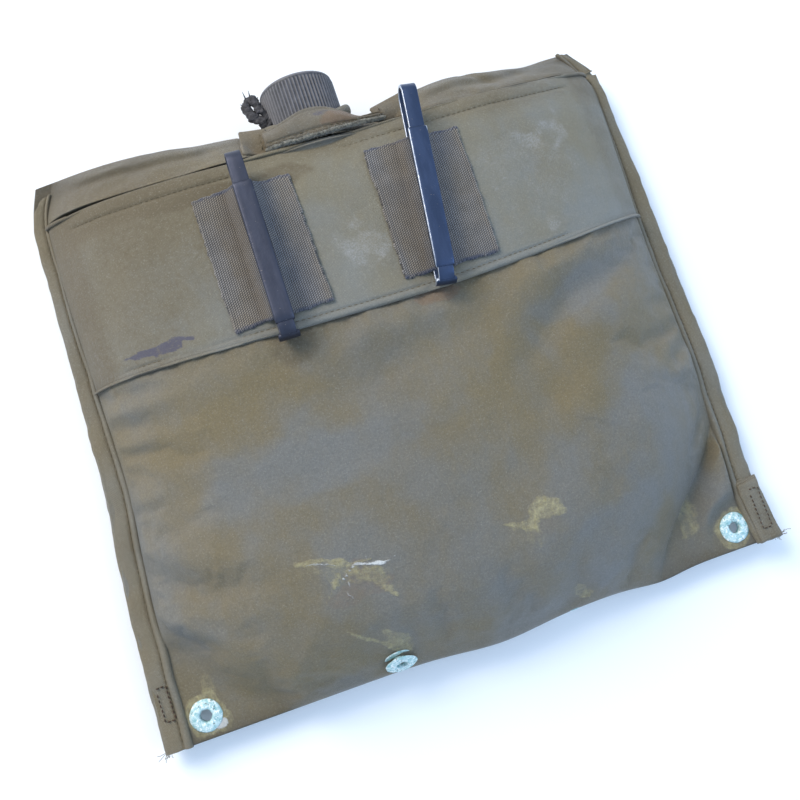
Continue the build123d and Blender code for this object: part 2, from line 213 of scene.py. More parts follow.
def panel_low_edge(x):
    """The panel's lower edge sags in the middle and climbs more at the right."""
    return PANEL_LOW - 3.5 + np.where(x < 10, 6.0, 13.5) * ((x - 10) / 125) ** 2


def crease_line():
    """The crease that cuts off the flat corner: from the right seam to the bottom edge, in a slight S."""
    t = np.linspace(0, 1, 9)[:, None]
    start, end = np.array((BOTTOM_HALF - 9, 66)), np.array((77, -6))
    across = np.array((end - start)[::-1]) * (-1, 1) / np.linalg.norm(end - start)
    return start + (end - start) * t + across * 2.5 * np.sin(2 * math.pi * t)


right_crease = crease_line()


def pouch(x, y):
    """Height of the filled bag's back, before its folds."""
    low, high = left_seam(y), right_seam(y)
    across = np.clip(abs(x - (low + high) / 2) / ((high - low) / 2), 0, 1)
    bottom, top = bottom_edge(x), top_edge(x)
    place = np.clip((y - bottom) / (top - bottom), 0, 1)
    end = abs(2 * place - 1)
    profile = (1 - end ** np.where(place < 0.5, 3.0, 7.0)) ** 0.58
    corner = 54.0
    dx, dy = (low + corner) - x, corner - y
    flat_corner = np.minimum((corner - np.hypot(np.maximum(dx, 0), np.maximum(dy, 0))) / 26, 1)
    flap = 1 + (flat_corner - 1) * smooth(dx / 18) * smooth(dy / 18)
    crease, _ = along(x, y, right_crease)
    inside = np.where(x > 40, np.clip(-crease, 0, 46) / 46, 1.0)
    inside = np.where(
        (x > 40) & (y < 66), inside, np.where(x > 40, np.maximum(inside, smooth((y - 66) / 24)), 1.0)
    )
    body = (1 - (1 - np.clip(inside, 0, 1)) ** 2.4) ** 0.62
    return FLAT + (RISE - CLOTH) * (1 - across**3) ** 0.62 * profile * smooth(flap) * body


# (line in x and y, width, depth, raised roll beside it, how it fades at its ends)
FOLDS = [
    # from the left seam
    ([(-122, 149), (-86, 138)], 4.5, 1.9, 0.6, (0, 0.6)),
    ([(-122, 133), (-92, 127)], 4.0, 2.2, 0.8, (0, 0.6)),
    ([(-123, 121), (-98, 116)], 2.8, 1.4, 0.7, (0, 0.6)),
    ([(-123, 97), (-104, 95)], 2.8, 1.6, 0.7, (0, 0.6)),
    ([(-126, 74), (-98, 56), (-64, 52)], 5.5, 3.2, 0.8, (0, 0.6)),
    ([(-112, 47), (-66, 30)], 6.5, 1.8, 0.7, (0.5, 0.6)),
    ([(-128, 50), (-96, 27)], 3.4, 2.0, 0.7, (0, 0.7)),
    # across the middle, under the panel
    ([(119, 140), (74, 127), (30, 92)], 8.5, 4.6, -0.5, (0.25, 0.45)),
    ([(46, 128), (0, 121), (-56, 110)], 9.0, 2.2, -0.6, (0.3, 0.45)),
    ([(66, 108), (46, 84), (42, 70)], 9.0, 1.8, 0.6, (0.3, 0.5)),
    ([(-9, 142), (6, 133)], 3.4, 1.6, 0.8, (0.2, 0.5)),
    ([(-60, 138), (-30, 131)], 6.0, 1.4, 0.6, (0.3, 0.5)),
    ([(-96, 92), (-40, 86)], 9.0, 1.3, 0.6, (0.4, 0.5)),
    # from the right seam
    ([(125, 104), (102, 97)], 3.0, 1.6, 0.7, (0, 0.6)),
    ([(126, 97), (101, 80)], 3.6, 2.2, 0.7, (0, 0.6)),
    ([(125, 64), (100, 45)], 3.6, 2.4, 0.7, (0, 0.7)),
    # up from the bottom edge
    ([(-110, 6), (-76, 10), (-48, 5)], 3.6, 1.6, 0.6, (0.3, 0.4)),
    ([(24, 6), (80, 44)], 10.0, 2.4, 0.5, (0.3, 0.5)),
    ([(62, 14), (88, 34)], 5.0, 1.4, -0.6, (0.3, 0.5)),
    ([(-20, 4), (-16, 22)], 4.0, 1.2, 0.6, (0.4, 0.6)),
]


def bag(x, y):
    """Height of the bag's back with its folds, sags and puckers."""
    base = pouch(x, y)
    full = smooth((base - FLAT) / 14)
    low, high = left_seam(y), right_seam(y)
    free = smooth((panel_low_edge(x) + 2 - y) / 14)
    z = (
        base
        + full
        * (
            1.5 * noise(x, y, 62, 3) + 0.9 * free * noise(x, y, 27, 4) + 0.42 * rough(x, y, 11, 5)
            + 0.35 * free * noise(x * 0.5 + y, y - x * 0.5, 15, 6)
        )
    )
    folds = 0
    for points, width, depth, roll, fade in FOLDS:
        folds = folds + fold(x, y, points, width, depth, roll, fade)
    z = z + folds * smooth((base - SEAM - 1.5) / 9) * smooth((panel_low_edge(x) - 1 - y) / 7)
    # the flat flap in the lower right corner, with its own soft ridge
    crease, _ = along(x, y, right_crease)
    beyond = np.where((x > 60) & (crease > 0), smooth(crease / 5), 0)
    ridge, place = along(x, y, [(131, 62), (121, 31), (100, 4)])
    rises = 6.2 * np.exp(-((ridge / 7.5) ** 2)) * smooth(place / 0.25) * smooth((1 - place) / 0.35)
    eyelet_gap = smooth((np.hypot(x - EYELET_X, y - EYELET_Y) - 8.5) / 7)
    edge_gap = smooth((y - bottom_edge(x)) / 4) * smooth((high - x) / 3)
    z = z + beyond * rises * eyelet_gap * edge_gap
    # small puckers along the side seams and under the hanger panel's piping
    for seam, sign, seed in ((low, 1, 21), (high, -1, 22)):
        inward = sign * (x - seam)
        z = (
            z
            + 0.55 * np.exp(-((inward - 6) / 6) ** 2) * noise(y, inward * 0.25, 5.5, seed)
            * smooth(inward / 3) * full
        )
    under = panel_low_edge(x) - y
    z = z + 0.5 * np.exp(-((under - 5) / 5) ** 2) * noise(x, under * 0.3, 9, 23) * smooth(under / 2)
    return np.maximum(z, FLAT)


def hanger(x, y):
    """Height of the stiffened hanger panel's outer face."""
    stiff = smooth((128 - abs(x)) / 30)
    z = pouch(x, y) + 2.6 * stiff + 0.9 * noise(x, y, 55, 31) * stiff + 0.25 * rough(x, y, 14, 32)
    z = z + 0.6 * noise(x, y * 0.4, 24, 33) * smooth((y - 205) / 10)
    dents = fold(x, y, [(60, 205), (75, 190), (82, 170)], 7, 0.8, 0.5, (0.4, 0.4))
    dents = dents + fold(x, y, [(-100, 212), (-104, 190), (-108, 165)], 8, 0.8, 0.5, (0.4, 0.4))
    return z + dents


# ======== building meshes ========
def world(points):
    """From millimetres counted from the bottom edge to metres in the frame."""
    points = np.asarray(points, float).reshape(-1, 3) + (0, EDGE_Y, 0)
    return points / MM


def piece(name, points, faces, look, slot, body="cover", stands_for=(), values=None, crisp=None):
    """Make a mesh object that rides on a body; values are numbers kept on its vertices."""
    mesh = bpy.data.meshes.new(name)
    mesh.from_pydata(
        world(points).tolist(), [], [tuple(face) for face in np.asarray(faces, object).tolist()]
    )
    mesh.validate()
    mesh.shade_smooth()
    if crisp:
        mesh.set_sharp_from_angle(angle=math.radians(crisp))
    for key, numbers in (values or {}).items():
        numbers = np.asarray(numbers, np.float32)
        kind, field = ("FLOAT_VECTOR", "vector") if numbers.ndim == 2 else ("FLOAT", "value")
        mesh.attributes.new(key, kind, "POINT").data.foreach_set(field, numbers.ravel())
    made = bpy.data.objects.new(name, mesh)
    bpy.context.scene.collection.objects.link(made)
    mesh.materials.append(look)
    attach(made, body)
    if stands_for:
        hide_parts(*stands_for)
    return made


def quads(rows, cols, wrap=False):
    """Faces of a grid; with wrap its last column joins its first."""
    i, j = np.meshgrid(np.arange(rows - 1), np.arange(cols if wrap else cols - 1), indexing="ij")
    k = (j + 1) % cols
    return np.stack([i * cols + j, (i + 1) * cols + j, (i + 1) * cols + k, i * cols + k], -1).reshape(-1, 4)


def directions(grid):
    """The outward direction at each point of a grid."""
    normal = np.cross(np.gradient(grid, axis=0), np.gradient(grid, axis=1))
    return normal / np.maximum(np.linalg.norm(normal, axis=2, keepdims=True), 1e-9)


def cloth(name, grid, thick, look, slot, values=None, keep=None, **options):
    """A closed layer of cloth with a rounded rim; the grid is its outer face."""
    rows, cols = grid.shape[:2]
    normal = directions(grid).reshape(-1, 3)
    outer = grid.reshape(-1, 3)
    faces = quads(rows, cols)
    if keep is not None:
        faces = faces[keep.reshape(-1)[faces].all(1)]
    count = len(outer)
    start, end = faces.ravel(), np.roll(faces, -1, axis=1).ravel()
    twin = np.isin(start * count + end, end * count + start)
    start, end = start[~twin], end[~twin]
    rim = np.unique(start)
    place = np.full(count, -1)
    place[rim] = np.arange(len(rim))
    outward = np.zeros((count, 3))
    push = np.cross(outer[end] - outer[start], normal[start])
    np.add.at(outward, start, push)
    np.add.at(outward, end, push)
    outward = outward[rim] / np.maximum(np.linalg.norm(outward[rim], axis=1, keepdims=True), 1e-9)
    middle = outer[rim] - normal[rim] * thick / 2 + outward * thick * 0.42
    points = np.vstack([outer, outer - normal * thick, middle])
    first, second = 2 * count + place[start], 2 * count + place[end]
    around = np.vstack([
        np.stack([end, start, first, second], 1),
        np.stack([second, first, start + count, end + count], 1),
    ])
    every = np.vstack([faces, faces[:, ::-1] + count, around])
    used = np.zeros(len(points), bool)
    used[every.ravel()] = True
    index = np.cumsum(used) - 1
    flat = {"weave": weave_place(grid)}
    flat.update({key: np.asarray(v, float) for key, v in (values or {}).items()})
    kept = {}
    for key, v in flat.items():
        v = v.reshape(count, -1)
        v = np.vstack([v, v, v[rim]])[used]
        kept[key] = v if v.shape[1] == 3 else v[:, 0]
    return piece(name, points[used], index[every], look, slot, values=kept, **options)


def weave_place(grid):
    """Where each point of a grid lies on the flat cloth, in millimetres."""
    down = np.zeros(grid.shape[:2])
    down[1:] = np.cumsum(np.linalg.norm(np.diff(grid, axis=0), axis=2), axis=0)
    across = np.zeros(grid.shape[:2])
    across[:, 1:] = np.cumsum(np.linalg.norm(np.diff(grid, axis=1), axis=2), axis=1)
    middle = grid.shape[1] // 2
    down = np.broadcast_to(down[:, middle : middle + 1], down.shape)
    across = across - across[:, middle : middle + 1]
    return np.stack([across, down, np.zeros_like(down)], -1)


def tube(path, section, up=None, side=None):
    """Points and faces of a closed section carried along a path, with its ends filled in."""
    path = np.asarray(path, float)
    forward = np.gradient(path, axis=0)
    forward /= np.linalg.norm(forward, axis=1, keepdims=True)
    if side is None:
        side = np.cross(forward, np.broadcast_to(up, path.shape))
    side = np.broadcast_to(side, path.shape)
    side = side / np.linalg.norm(side, axis=1, keepdims=True)
    lift = np.cross(side, forward)
    section = np.asarray(section, float)
    if section.ndim == 2:
        section = np.broadcast_to(section, (len(path), *section.shape))
    points = path[:, None] + side[:, None] * section[..., :1] + lift[:, None] * section[..., 1:]
    n = section.shape[1]
    faces = [list(q) for q in quads(len(path), n, wrap=True)]
    last = (len(path) - 1) * n
    faces.append(list(range(n)))
    faces.append([last + n - 1 - i for i in range(n)])
    return points.reshape(-1, 3), faces


def merge(parts):
    """Several (points, faces) as one."""
    points, faces, count = [], [], 0
    for some, quad in parts:
        points.append(np.asarray(some))
        faces += [[v + count for v in face] for face in quad]
        count += len(some)
    return np.vstack(points), faces


def rounded(width, height, radius, steps=4):
    """A rounded rectangle's outline about its centre, counted anticlockwise."""
    outline = []
    for cx, cy, start in ((1, 1, 0), (-1, 1, 90), (-1, -1, 180), (1, -1, 270)):
        for k in range(steps + 1):
            a = math.radians(start + 90 * k / steps)
            outline.append(
                (
                    cx * (width / 2 - radius) + radius * math.cos(a),
                    cy * (height / 2 - radius) + radius * math.sin(a)
                )
            )
    return np.array(outline)


def resample(path, step):
    """A path's points again, evenly spaced."""
    path = np.asarray(path, float)
    gone = np.r_[0, np.cumsum(np.linalg.norm(np.diff(path, axis=0), axis=1))]
    count = max(int(gone[-1] / step), 2)
    at = np.linspace(0, gone[-1], count)
    return np.stack([np.interp(at, gone, path[:, k]) for k in range(path.shape[1])], 1)


def stitches(name, path, up, look, slot, length=2.3, gap=0.9, thick=0.3, seed=1):
    """A row of sewn stitches on a path; each one dives into the cloth at both ends."""
    fine = resample(path, 0.2)
    up = np.asarray(up, float)
    pace = int((length + gap) / 0.2)
    run = int(length / 0.2)
    chance = np.random.RandomState(seed)
    ring = np.array([(math.cos(a), math.sin(a)) for a in np.linspace(0, 2 * math.pi, 7)[:-1]])
    parts = []
    for first in range(1, len(fine) - run - 1, pace):
        part = fine[first : first + run : 2] + chance.uniform(-0.12, 0.12, 3) * (1, 1, 0)
        t = np.linspace(-1, 1, len(part))
        lift = thick * 0.75 - 1.0 * thick * t**4
        part = part + up * lift[:, None]
        size = thick * (1.0 - 0.45 * t**4)
        parts.append(tube(part, ring[None] * size[:, None, None], up=up))
    points, faces = merge(parts)
    return piece(name, points, faces, look, slot)


# ======== materials ========
class Look:
    """One procedural material, built node by node."""

    def __init__(self, name):
        self.material = bpy.data.materials.new(name)
        self.material.use_nodes = True
        self.tree = self.material.node_tree
        self.shader = self.tree.nodes["Principled BSDF"]
        self.place = self.new("ShaderNodeTexCoord").outputs["Object"]
        scaled = self.new("ShaderNodeVectorMath", operation="SCALE")
        self.tree.links.new(self.place, scaled.inputs[0])
        scaled.inputs["Scale"].default_value = MM
        self.place = scaled.outputs[0]

    def new(self, kind, **settings):
        node = self.tree.nodes.new(kind)
        for key, value in settings.items():
            setattr(node, key, value)
        return node

    def put(self, value, socket):
        if isinstance(value, bpy.types.NodeSocket):
            self.tree.links.new(value, socket)
        elif isinstance(value, tuple) and len(value) == 3 and socket.type == "RGBA":
            socket.default_value = (*value, 1)
        else:
            socket.default_value = value

    def kept(self, key):
        """A number kept on the mesh's vertices."""
        return self.new("ShaderNodeAttribute", attribute_name=key).outputs["Fac"]

    def spot(self, key):
        """A place kept on the mesh's vertices."""
        return self.new("ShaderNodeAttribute", attribute_name=key).outputs["Vector"]

    def math(self, operation, a, b=0.0, c=0.0):
        node = self.new("ShaderNodeMath", operation=operation)
        for value, socket in zip((a, b, c), node.inputs):
            self.put(value, socket)
        return node.outputs[0]

    def times(self, a, b):
        return self.math("MULTIPLY", a, b)

    def plus(self, a, b):
        return self.math("ADD", a, b)

    def minus(self, a, b):
        return self.math("SUBTRACT", a, b)

    def noise(self, size, detail=3.0, rough=0.55, place=None, stretch=(1, 1, 1)):
        """Noise with lumps about one size across, in millimetres."""
        node = self.new("ShaderNodeTexNoise")
        spread = self.new("ShaderNodeVectorMath", operation="MULTIPLY")
        self.put(place or self.place, spread.inputs[0])
        spread.inputs[1].default_value = stretch
        self.put(spread.outputs[0], node.inputs["Vector"])
        node.inputs["Scale"].default_value = 1.0 / size
        node.inputs["Detail"].default_value = detail
        node.inputs["Roughness"].default_value = rough
        return node.outputs["Fac"]

    def step(self, value, low, high):
        """0 below low, 1 above high."""
        node = self.new("ShaderNodeMapRange", interpolation_type="SMOOTHSTEP")
        self.put(value, node.inputs["Value"])
        node.inputs["From Min"].default_value = low
        node.inputs["From Max"].default_value = high
        return node.outputs["Result"]

    def mix(self, amount, a, b):
        node = self.new("ShaderNodeMix", data_type="RGBA")
        self.put(amount, node.inputs[0])
        self.put(a, node.inputs[6])
        self.put(b, node.inputs[7])
        return node.outputs[2]

    def threads(self, size, place):
        """A plain weave's height: bands both ways, swapped over and under."""
        parts = self.new("ShaderNodeSeparateXYZ")
        self.put(place, parts.inputs[0])
        heights = []
        for this, other in (("X", "Y"), ("Y", "X")):
            run = self.math("MULTIPLY", parts.outputs[this], math.pi / size)
            cross = self.math("MULTIPLY", parts.outputs[other], math.pi / size)
            ridge = self.math("ABSOLUTE", self.math("SINE", run))
            heights.append(self.math("MULTIPLY", ridge, self.math("ABSOLUTE", self.math("COSINE", cross))))
        return self.math("MAXIMUM", *heights)

    def finish(self, colour, roughness, bumps=(), **plain):
        """Set the shader: bumps are (height, distance in millimetres), plain values go straight in."""
        self.put(colour, self.shader.inputs["Base Color"])
        self.put(roughness, self.shader.inputs["Roughness"])
        last = None
        for height, distance in bumps:
            node = self.new("ShaderNodeBump")
            node.inputs["Strength"].default_value = 1.0
            node.inputs["Distance"].default_value = distance / MM
            self.put(height, node.inputs["Height"])
            if last:
                self.put(last, node.inputs["Normal"])
            last = node.outputs["Normal"]
        if last:
            self.put(last, self.shader.inputs["Normal"])
        for key, value in plain.items():
            socket = self.shader.inputs[key.replace("_", " ")]
            socket.default_value = (*value, 1) if isinstance(value, tuple) else value
        return self.material


OLIVE = (0.225, 0.172, 0.085)
BROWN = (0.150, 0.114, 0.062)
SHEEN_SLATE = (0.208, 0.202, 0.186)
CRUST = (0.62, 0.54, 0.30)
RUST = (0.20, 0.105, 0.055)
RIB, PICK = 0.92, 0.88
INK = (0.060, 0.056, 0.098)


def fabric(name, olive, sheen_slate, weave=0.55, crusty=False, chalky=False, spotted=0.42, gloss=0.62):
    """Coated olive cloth: bluish grey where painted sheen and shade are marked, and browner where dirt and
    painted shade are marked.
    """
    look = Look(name)
    where = look.spot("weave")
    # painted sheen and shade: the bluish grey stands for the sky's reflection and the bluish fill on shaded
    # slopes, the olive for lit cloth
    mottle = look.step(look.noise(26, 5, 0.6, stretch=(1.0, 0.6, 1)), 0.30, 0.70)
    grain = look.noise(2.2, 4, 0.7)
    painted_sheen = look.plus(look.kept("blue"), look.times(look.minus(mottle, 0.5), 0.6))
    painted_sheen = look.step(painted_sheen, -0.15, 1.15)
    colour = look.mix(painted_sheen, olive, sheen_slate)
    # browner where dirt is marked, and where painted shade is marked under the panel's edge and in the tapes'
    # stitch grooves
    colour = look.mix(
        look.step(look.times(look.kept("soil"), look.plus(grain, 0.6)), 0.15, 1.1), colour, BROWN
    )
    speck = look.step(look.noise(0.9, 3, 0.6), 0.30, 0.72)
    colour = look.mix(look.times(speck, spotted), colour, look.mix(0.5, colour, (0.02, 0.018, 0.012)))
    thread = look.threads(weave, where)
    colour = look.mix(look.times(look.minus(1.0, thread), 0.46), colour, (0.03, 0.027, 0.018))
    colour = look.mix(
        look.times(look.step(look.noise(0.6, 2, 0.6), 0.52, 0.80), 0.30), colour, (0.42, 0.40, 0.33)
    )
    rough_value = look.minus(gloss, look.times(painted_sheen, 0.12))
    bumps = [(thread, 0.17), (grain, 0.20), (look.noise(9, 4, 0.6), 0.55)]
    if chalky:
        fine = look.times(look.noise(0.7, 5, 0.75), look.plus(look.noise(5, 4, 0.65), 0.45))
        flake = look.step(look.times(fine, look.kept("chalk")), 0.25, 0.60)
        colour = look.mix(look.times(flake, 0.42), colour, (0.44, 0.44, 0.45))
        ragged = look.plus(
            look.noise(1.1, 5, 0.75, stretch=(0.6, 1.3, 1)), look.times(look.noise(4, 3, 0.6), 0.35)
        )
        inked = look.step(look.times(look.kept("ink"), look.plus(ragged, 0.05)), 0.42, 0.74)
        colour = look.mix(look.times(inked, 0.78), colour, INK)
    if crusty:
        veil = look.noise(4, 6, 0.80, stretch=(1.4, 0.5, 1))
        lace = look.noise(1.3, 6, 0.80, stretch=(0.45, 1.9, 1))
        scab = look.times(look.kept("crust"), look.plus(veil, look.times(lace, 0.5)))
        scab = look.step(scab, 0.44, 0.98)
        veins = look.mix(look.step(look.noise(1.6, 5, 0.7), 0.25, 0.75), (0.34, 0.28, 0.13), CRUST)
        colour = look.mix(look.times(scab, 0.85), colour, veins)
        white = look.times(look.kept("white"), look.plus(look.noise(0.9, 5, 0.75), 0.40))
        white = look.step(white, 0.50, 0.88)
        colour = look.mix(white, colour, (0.70, 0.69, 0.66))
        rusty = look.step(look.times(look.kept("rust"), look.plus(grain, 0.4)), 0.3, 1.1)
        colour = look.mix(look.times(rusty, 0.45), colour, RUST)
        rough_value = look.math("MAXIMUM", rough_value, look.times(scab, 0.93))
        bumps.append((look.plus(look.times(scab, look.plus(0.4, lace)), white), 0.30))
    return look.finish(
        colour, rough_value, bumps, Sheen_Weight=0.12, Sheen_Roughness=0.45, Sheen_Tint=(0.75, 0.85, 1.0),
        Specular_IOR_Level=0.5
    )


def thread_look():
    look = Look("sewing_thread")
    colour = look.mix(look.noise(1.5, 3), (0.075, 0.058, 0.030), (0.15, 0.115, 0.06))
    return look.finish(colour, 0.75, [(look.noise(0.25, 2), 0.08)], Sheen_Weight=0.2)


def webbing_look():
    """Coarse ribbed webbing: rows of short slanting floats in a dark ground."""
    look = Look("ribbed_webbing")
    parts = look.new("ShaderNodeSeparateXYZ")
    look.put(look.spot("weave"), parts.inputs[0])
    rib = look.math("ABSOLUTE", look.math("SINE", look.times(parts.outputs["X"], math.pi / RIB)))
    column = look.math("DIVIDE", parts.outputs["X"], RIB)
    slant = look.plus(
        look.times(look.math("FLOOR", column), PICK / 2), look.times(look.math("FRACT", column), 0.35)
    )
    pick = look.math(
        "ABSOLUTE", look.math("SINE", look.times(look.plus(parts.outputs["Y"], slant), math.pi / PICK))
    )
    float_ = look.times(look.math("POWER", rib, 0.5), look.math("POWER", pick, 0.6))
    fuzz = look.noise(0.30, 3, 0.7)
    # painted light and shade: warm where lit, bluish grey where the mark paints shade
    lit = look.mix(look.kept("blue"), (0.265, 0.222, 0.172), (0.198, 0.208, 0.240))
    lit = look.mix(
        look.step(look.noise(5, 5, 0.65), 0.35, 0.75), lit, look.mix(0.5, lit, (0.34, 0.31, 0.29))
    )
    cover = look.step(look.plus(float_, look.times(fuzz, 0.4)), 0.40, 1.10)
    colour = look.mix(cover, (0.030, 0.027, 0.027), lit)
    # darker and browner with dirt, and with painted shade beside the clips
    colour = look.mix(look.times(look.kept("soil"), 0.50), colour, (0.060, 0.038, 0.020))
    colour = look.mix(look.times(look.kept("end"), 0.85), colour, (0.035, 0.045, 0.085))
    return look.finish(colour, 0.72, [(float_, 0.30), (fuzz, 0.08)], Sheen_Weight=0.2, Sheen_Roughness=0.5)


def steel_look(name, body, worn=0.35, rough=0.34):
    """Blackened steel, bright along some of its edges: worn there, with a painted highlight on the edges that
    face the light.
    """
    look = Look(name)
    smear = look.noise(5, 4, 0.6, stretch=(1, 0.25, 1))
    fine = look.noise(0.5, 3, 0.7)
    colour = look.mix(look.step(smear, 0.3, 0.75), body, tuple(min(1, c * 1.35) for c in body))
    edge = look.times(look.kept("edge"), look.plus(look.times(look.noise(2.4, 4, 0.7), 1.2), worn))
    # bright edges: wear, plus a painted highlight where the edge mark is raised on the lit side
    wear_and_highlight = look.step(edge, 0.60, 1.0)
    colour = look.mix(look.times(wear_and_highlight, 0.9), colour, (0.58, 0.62, 0.70))
    chips = look.step(look.noise(0.8, 2, 0.5), 0.71, 0.76)
    colour = look.mix(look.times(chips, 0.6), colour, (0.30, 0.26, 0.24))
    dull = look.plus(rough, look.times(smear, 0.15))
    return look.finish(
        colour, dull, [(fine, 0.03), (look.noise(3, 2), 0.10)], Metallic=0.85, Specular_IOR_Level=0.5
    )


def brass_look():
    """Eyelet metal under turquoise and white corrosion."""
    look = Look("corroded_eyelet")
    patch = look.noise(2.2, 5, 0.7)
    fine = look.noise(0.5, 4, 0.75)
    colour = look.mix(look.step(patch, 0.36, 0.62), (0.26, 0.50, 0.52), (0.60, 0.76, 0.76))
    colour = look.mix(look.step(look.noise(1.3, 4, 0.7), 0.50, 0.62), colour, (0.88, 0.92, 0.90))
    colour = look.mix(look.step(look.noise(1.8, 3, 0.6), 0.60, 0.72), colour, (0.10, 0.075, 0.06))
    return look.finish(
        colour, look.plus(0.42, look.times(fine, 0.35)), [(fine, 0.12), (patch, 0.3)], Metallic=0.25
    )


def cap_look():
    look = Look("ribbed_cap_plastic")
    dust = look.noise(4, 5, 0.65)
    colour = look.mix(look.step(dust, 0.35, 0.75), (0.030, 0.030, 0.036), (0.085, 0.083, 0.094))
    colour = look.mix(
        look.times(look.kept("edge"), look.plus(0.25, look.times(look.noise(0.8, 3, 0.7), 0.6))), colour,
        (0.23, 0.22, 0.235)
    )
    return look.finish(
        colour, look.plus(0.42, look.times(dust, 0.25)), [(look.noise(0.5, 3, 0.6), 0.05)],
        Specular_IOR_Level=0.5
    )


def rubber_look(name="torn_rubber", dark=(0.020, 0.019, 0.021), light=(0.085, 0.080, 0.088)):
    look = Look(name)
    wear = look.noise(1.6, 5, 0.7)
    colour = look.mix(look.step(wear, 0.35, 0.7), dark, light)
    return look.finish(colour, 0.62, [(wear, 0.5), (look.noise(0.4, 3, 0.7), 0.12)], Specular_IOR_Level=0.4)


def pile_look(name, colour_a, colour_b):
    look = Look(name)
    tuft = look.noise(1.2, 4, 0.75)
    colour = look.mix(look.step(tuft, 0.35, 0.68), colour_a, colour_b)
    return look.finish(colour, 0.95, [(tuft, 0.9), (look.noise(0.4, 3, 0.7), 0.3)], Sheen_Weight=0.4)


def bottle_look():
    look = Look("soft_bottle_plastic")
    cloud = look.noise(14, 4, 0.6)
    colour = look.mix(cloud, (0.050, 0.052, 0.026), (0.085, 0.085, 0.048))
    return look.finish(colour, look.plus(0.38, look.times(cloud, 0.2)), [(look.noise(1.2, 3), 0.08)])


cover_look = fabric("cover_cloth_look", OLIVE, SHEEN_SLATE, crusty=True)
panel_look = fabric(
    "hanger_cloth_look", (0.245, 0.210, 0.135), (0.235, 0.235, 0.212), weave=0.7, chalky=True, spotted=0.22,
    gloss=0.70
)
tape_look = fabric(
    "binding_tape_look", (0.215, 0.172, 0.105), (0.215, 0.200, 0.165), weave=0.9, spotted=0.35, gloss=0.75
)
sewing = thread_look()
webbing = webbing_look()
# painted sky reflection: the right clip's steel gets a bluer body and brighter edges than the left
steel_left = steel_look("blackened_steel_left", (0.052, 0.056, 0.078), 0.40, 0.40)
steel_right_painted_reflection = steel_look("blackened_steel_right", (0.046, 0.066, 0.122), 0.62, 0.30)
brass = brass_look()
cap_plastic = cap_look()
rubber = rubber_look()
gasket_look = rubber_look("gasket_rubber", (0.014, 0.014, 0.014), (0.03, 0.03, 0.03))
pile = pile_look("pile_lining", (0.20, 0.17, 0.10), (0.33, 0.29, 0.19))
fuzz = pile_look("hook_and_loop_fuzz", (0.085, 0.078, 0.060), (0.30, 0.28, 0.22))
bottle_plastic = bottle_look()


# ======== the cover: one strip of cloth, folded at the bottom, open at the mouth ========
def bag_columns():
    """Places across the bag: -1 and 1 on the side seams, beyond them in the seam margins."""
    inner = np.sin(np.linspace(-1, 1, 231) * math.radians(81)) / math.sin(math.radians(81))
    margin = np.linspace(0, 1, 6)[1:]
    return np.r_[-1 - margin[::-1], inner, 1 + margin]


def spread(columns, y):
    """x of each column at height y; the seam margins stop inside the tapes."""
    low, high = left_seam(y), right_seam(y)
    inner = (low + high) / 2 + np.clip(columns, -1, 1) * (high - low) / 2
    left = np.clip(-1 - columns, 0, 1) * (low - left_edge(y) - 1.6)
    right = np.clip(columns - 1, 0, 1) * (right_edge(y) - 1.6 - high)
    return inner - left + right


columns = bag_columns()
MOUTH_GAP = 2.0


def back_rows():
    """From the hem's turned-in edge, over the hem and down to the bottom fold."""
    rows = []
    nominal = np.linspace(0, 1, 215) ** 0.74
    for depth, inset in ((7.0, 1.4), (5.0, 1.2), (3.0, 0.9), (1.4, 0.35), (0.5, 0.1)):
        y = mouth(spread(columns, HEM)) - MOUTH_GAP / 2 - inset * 0.6
        x = spread(columns, y)
        rows.append(np.stack([x, y, np.maximum(bag(x, y - 1.5) - depth, FLAT)], 1))
    for f in nominal:
        x = spread(columns, HEM * (1 - f))
        top, bottom = mouth(x) - MOUTH_GAP / 2, bottom_edge(x)
        y = top + (bottom - top) * f
        rows.append(np.stack([x, y, bag(x, y)], 1))
    return rows


def pan(x, y):
    """Depth of the front below the seam: a shallow dish that lies flat on the ground."""
    low, high = left_seam(y), right_seam(y)
    side = np.minimum(x - low, high - x) / 24
    end = np.minimum(y - bottom_edge(x), top_edge(x) - y) / 13
    corner = (60 - np.hypot(60 - np.minimum(x - low, high - x), 60 - y)) / 20
    corner = np.where((np.minimum(x - low, high - x) < 60) & (y < 60), corner, 1)
    dish = 1.0
    for reach in (side, end, corner):
        dish = dish * np.sqrt(1 - (1 - np.clip(reach, 0, 1)) ** 2)
    waves = 0.8 * (1 + noise(x, y, 40, 41)) + 0.3 * (1 + rough(x, y, 13, 42))
    rim = SEAM - CLOTH - 0.05
    return rim - (rim - 0.05) * dish + waves * dish * (0.35 + 0.65 * smooth(1 - dish))


def front_rows():
    """Under the bag, from the bottom fold to the top one."""
    rows = []
    for f in np.r_[0.5 * np.linspace(0, 1, 60)[1:] ** 1.5, 1 - 0.5 * np.linspace(1, 0, 60)[1:] ** 1.5]:
        x = spread(columns, COVER * f)
        y = bottom_edge(x) + (top_edge(x) - bottom_edge(x)) * f
        rows.append(np.stack([x, y, pan(x, y)], 1))
    return rows


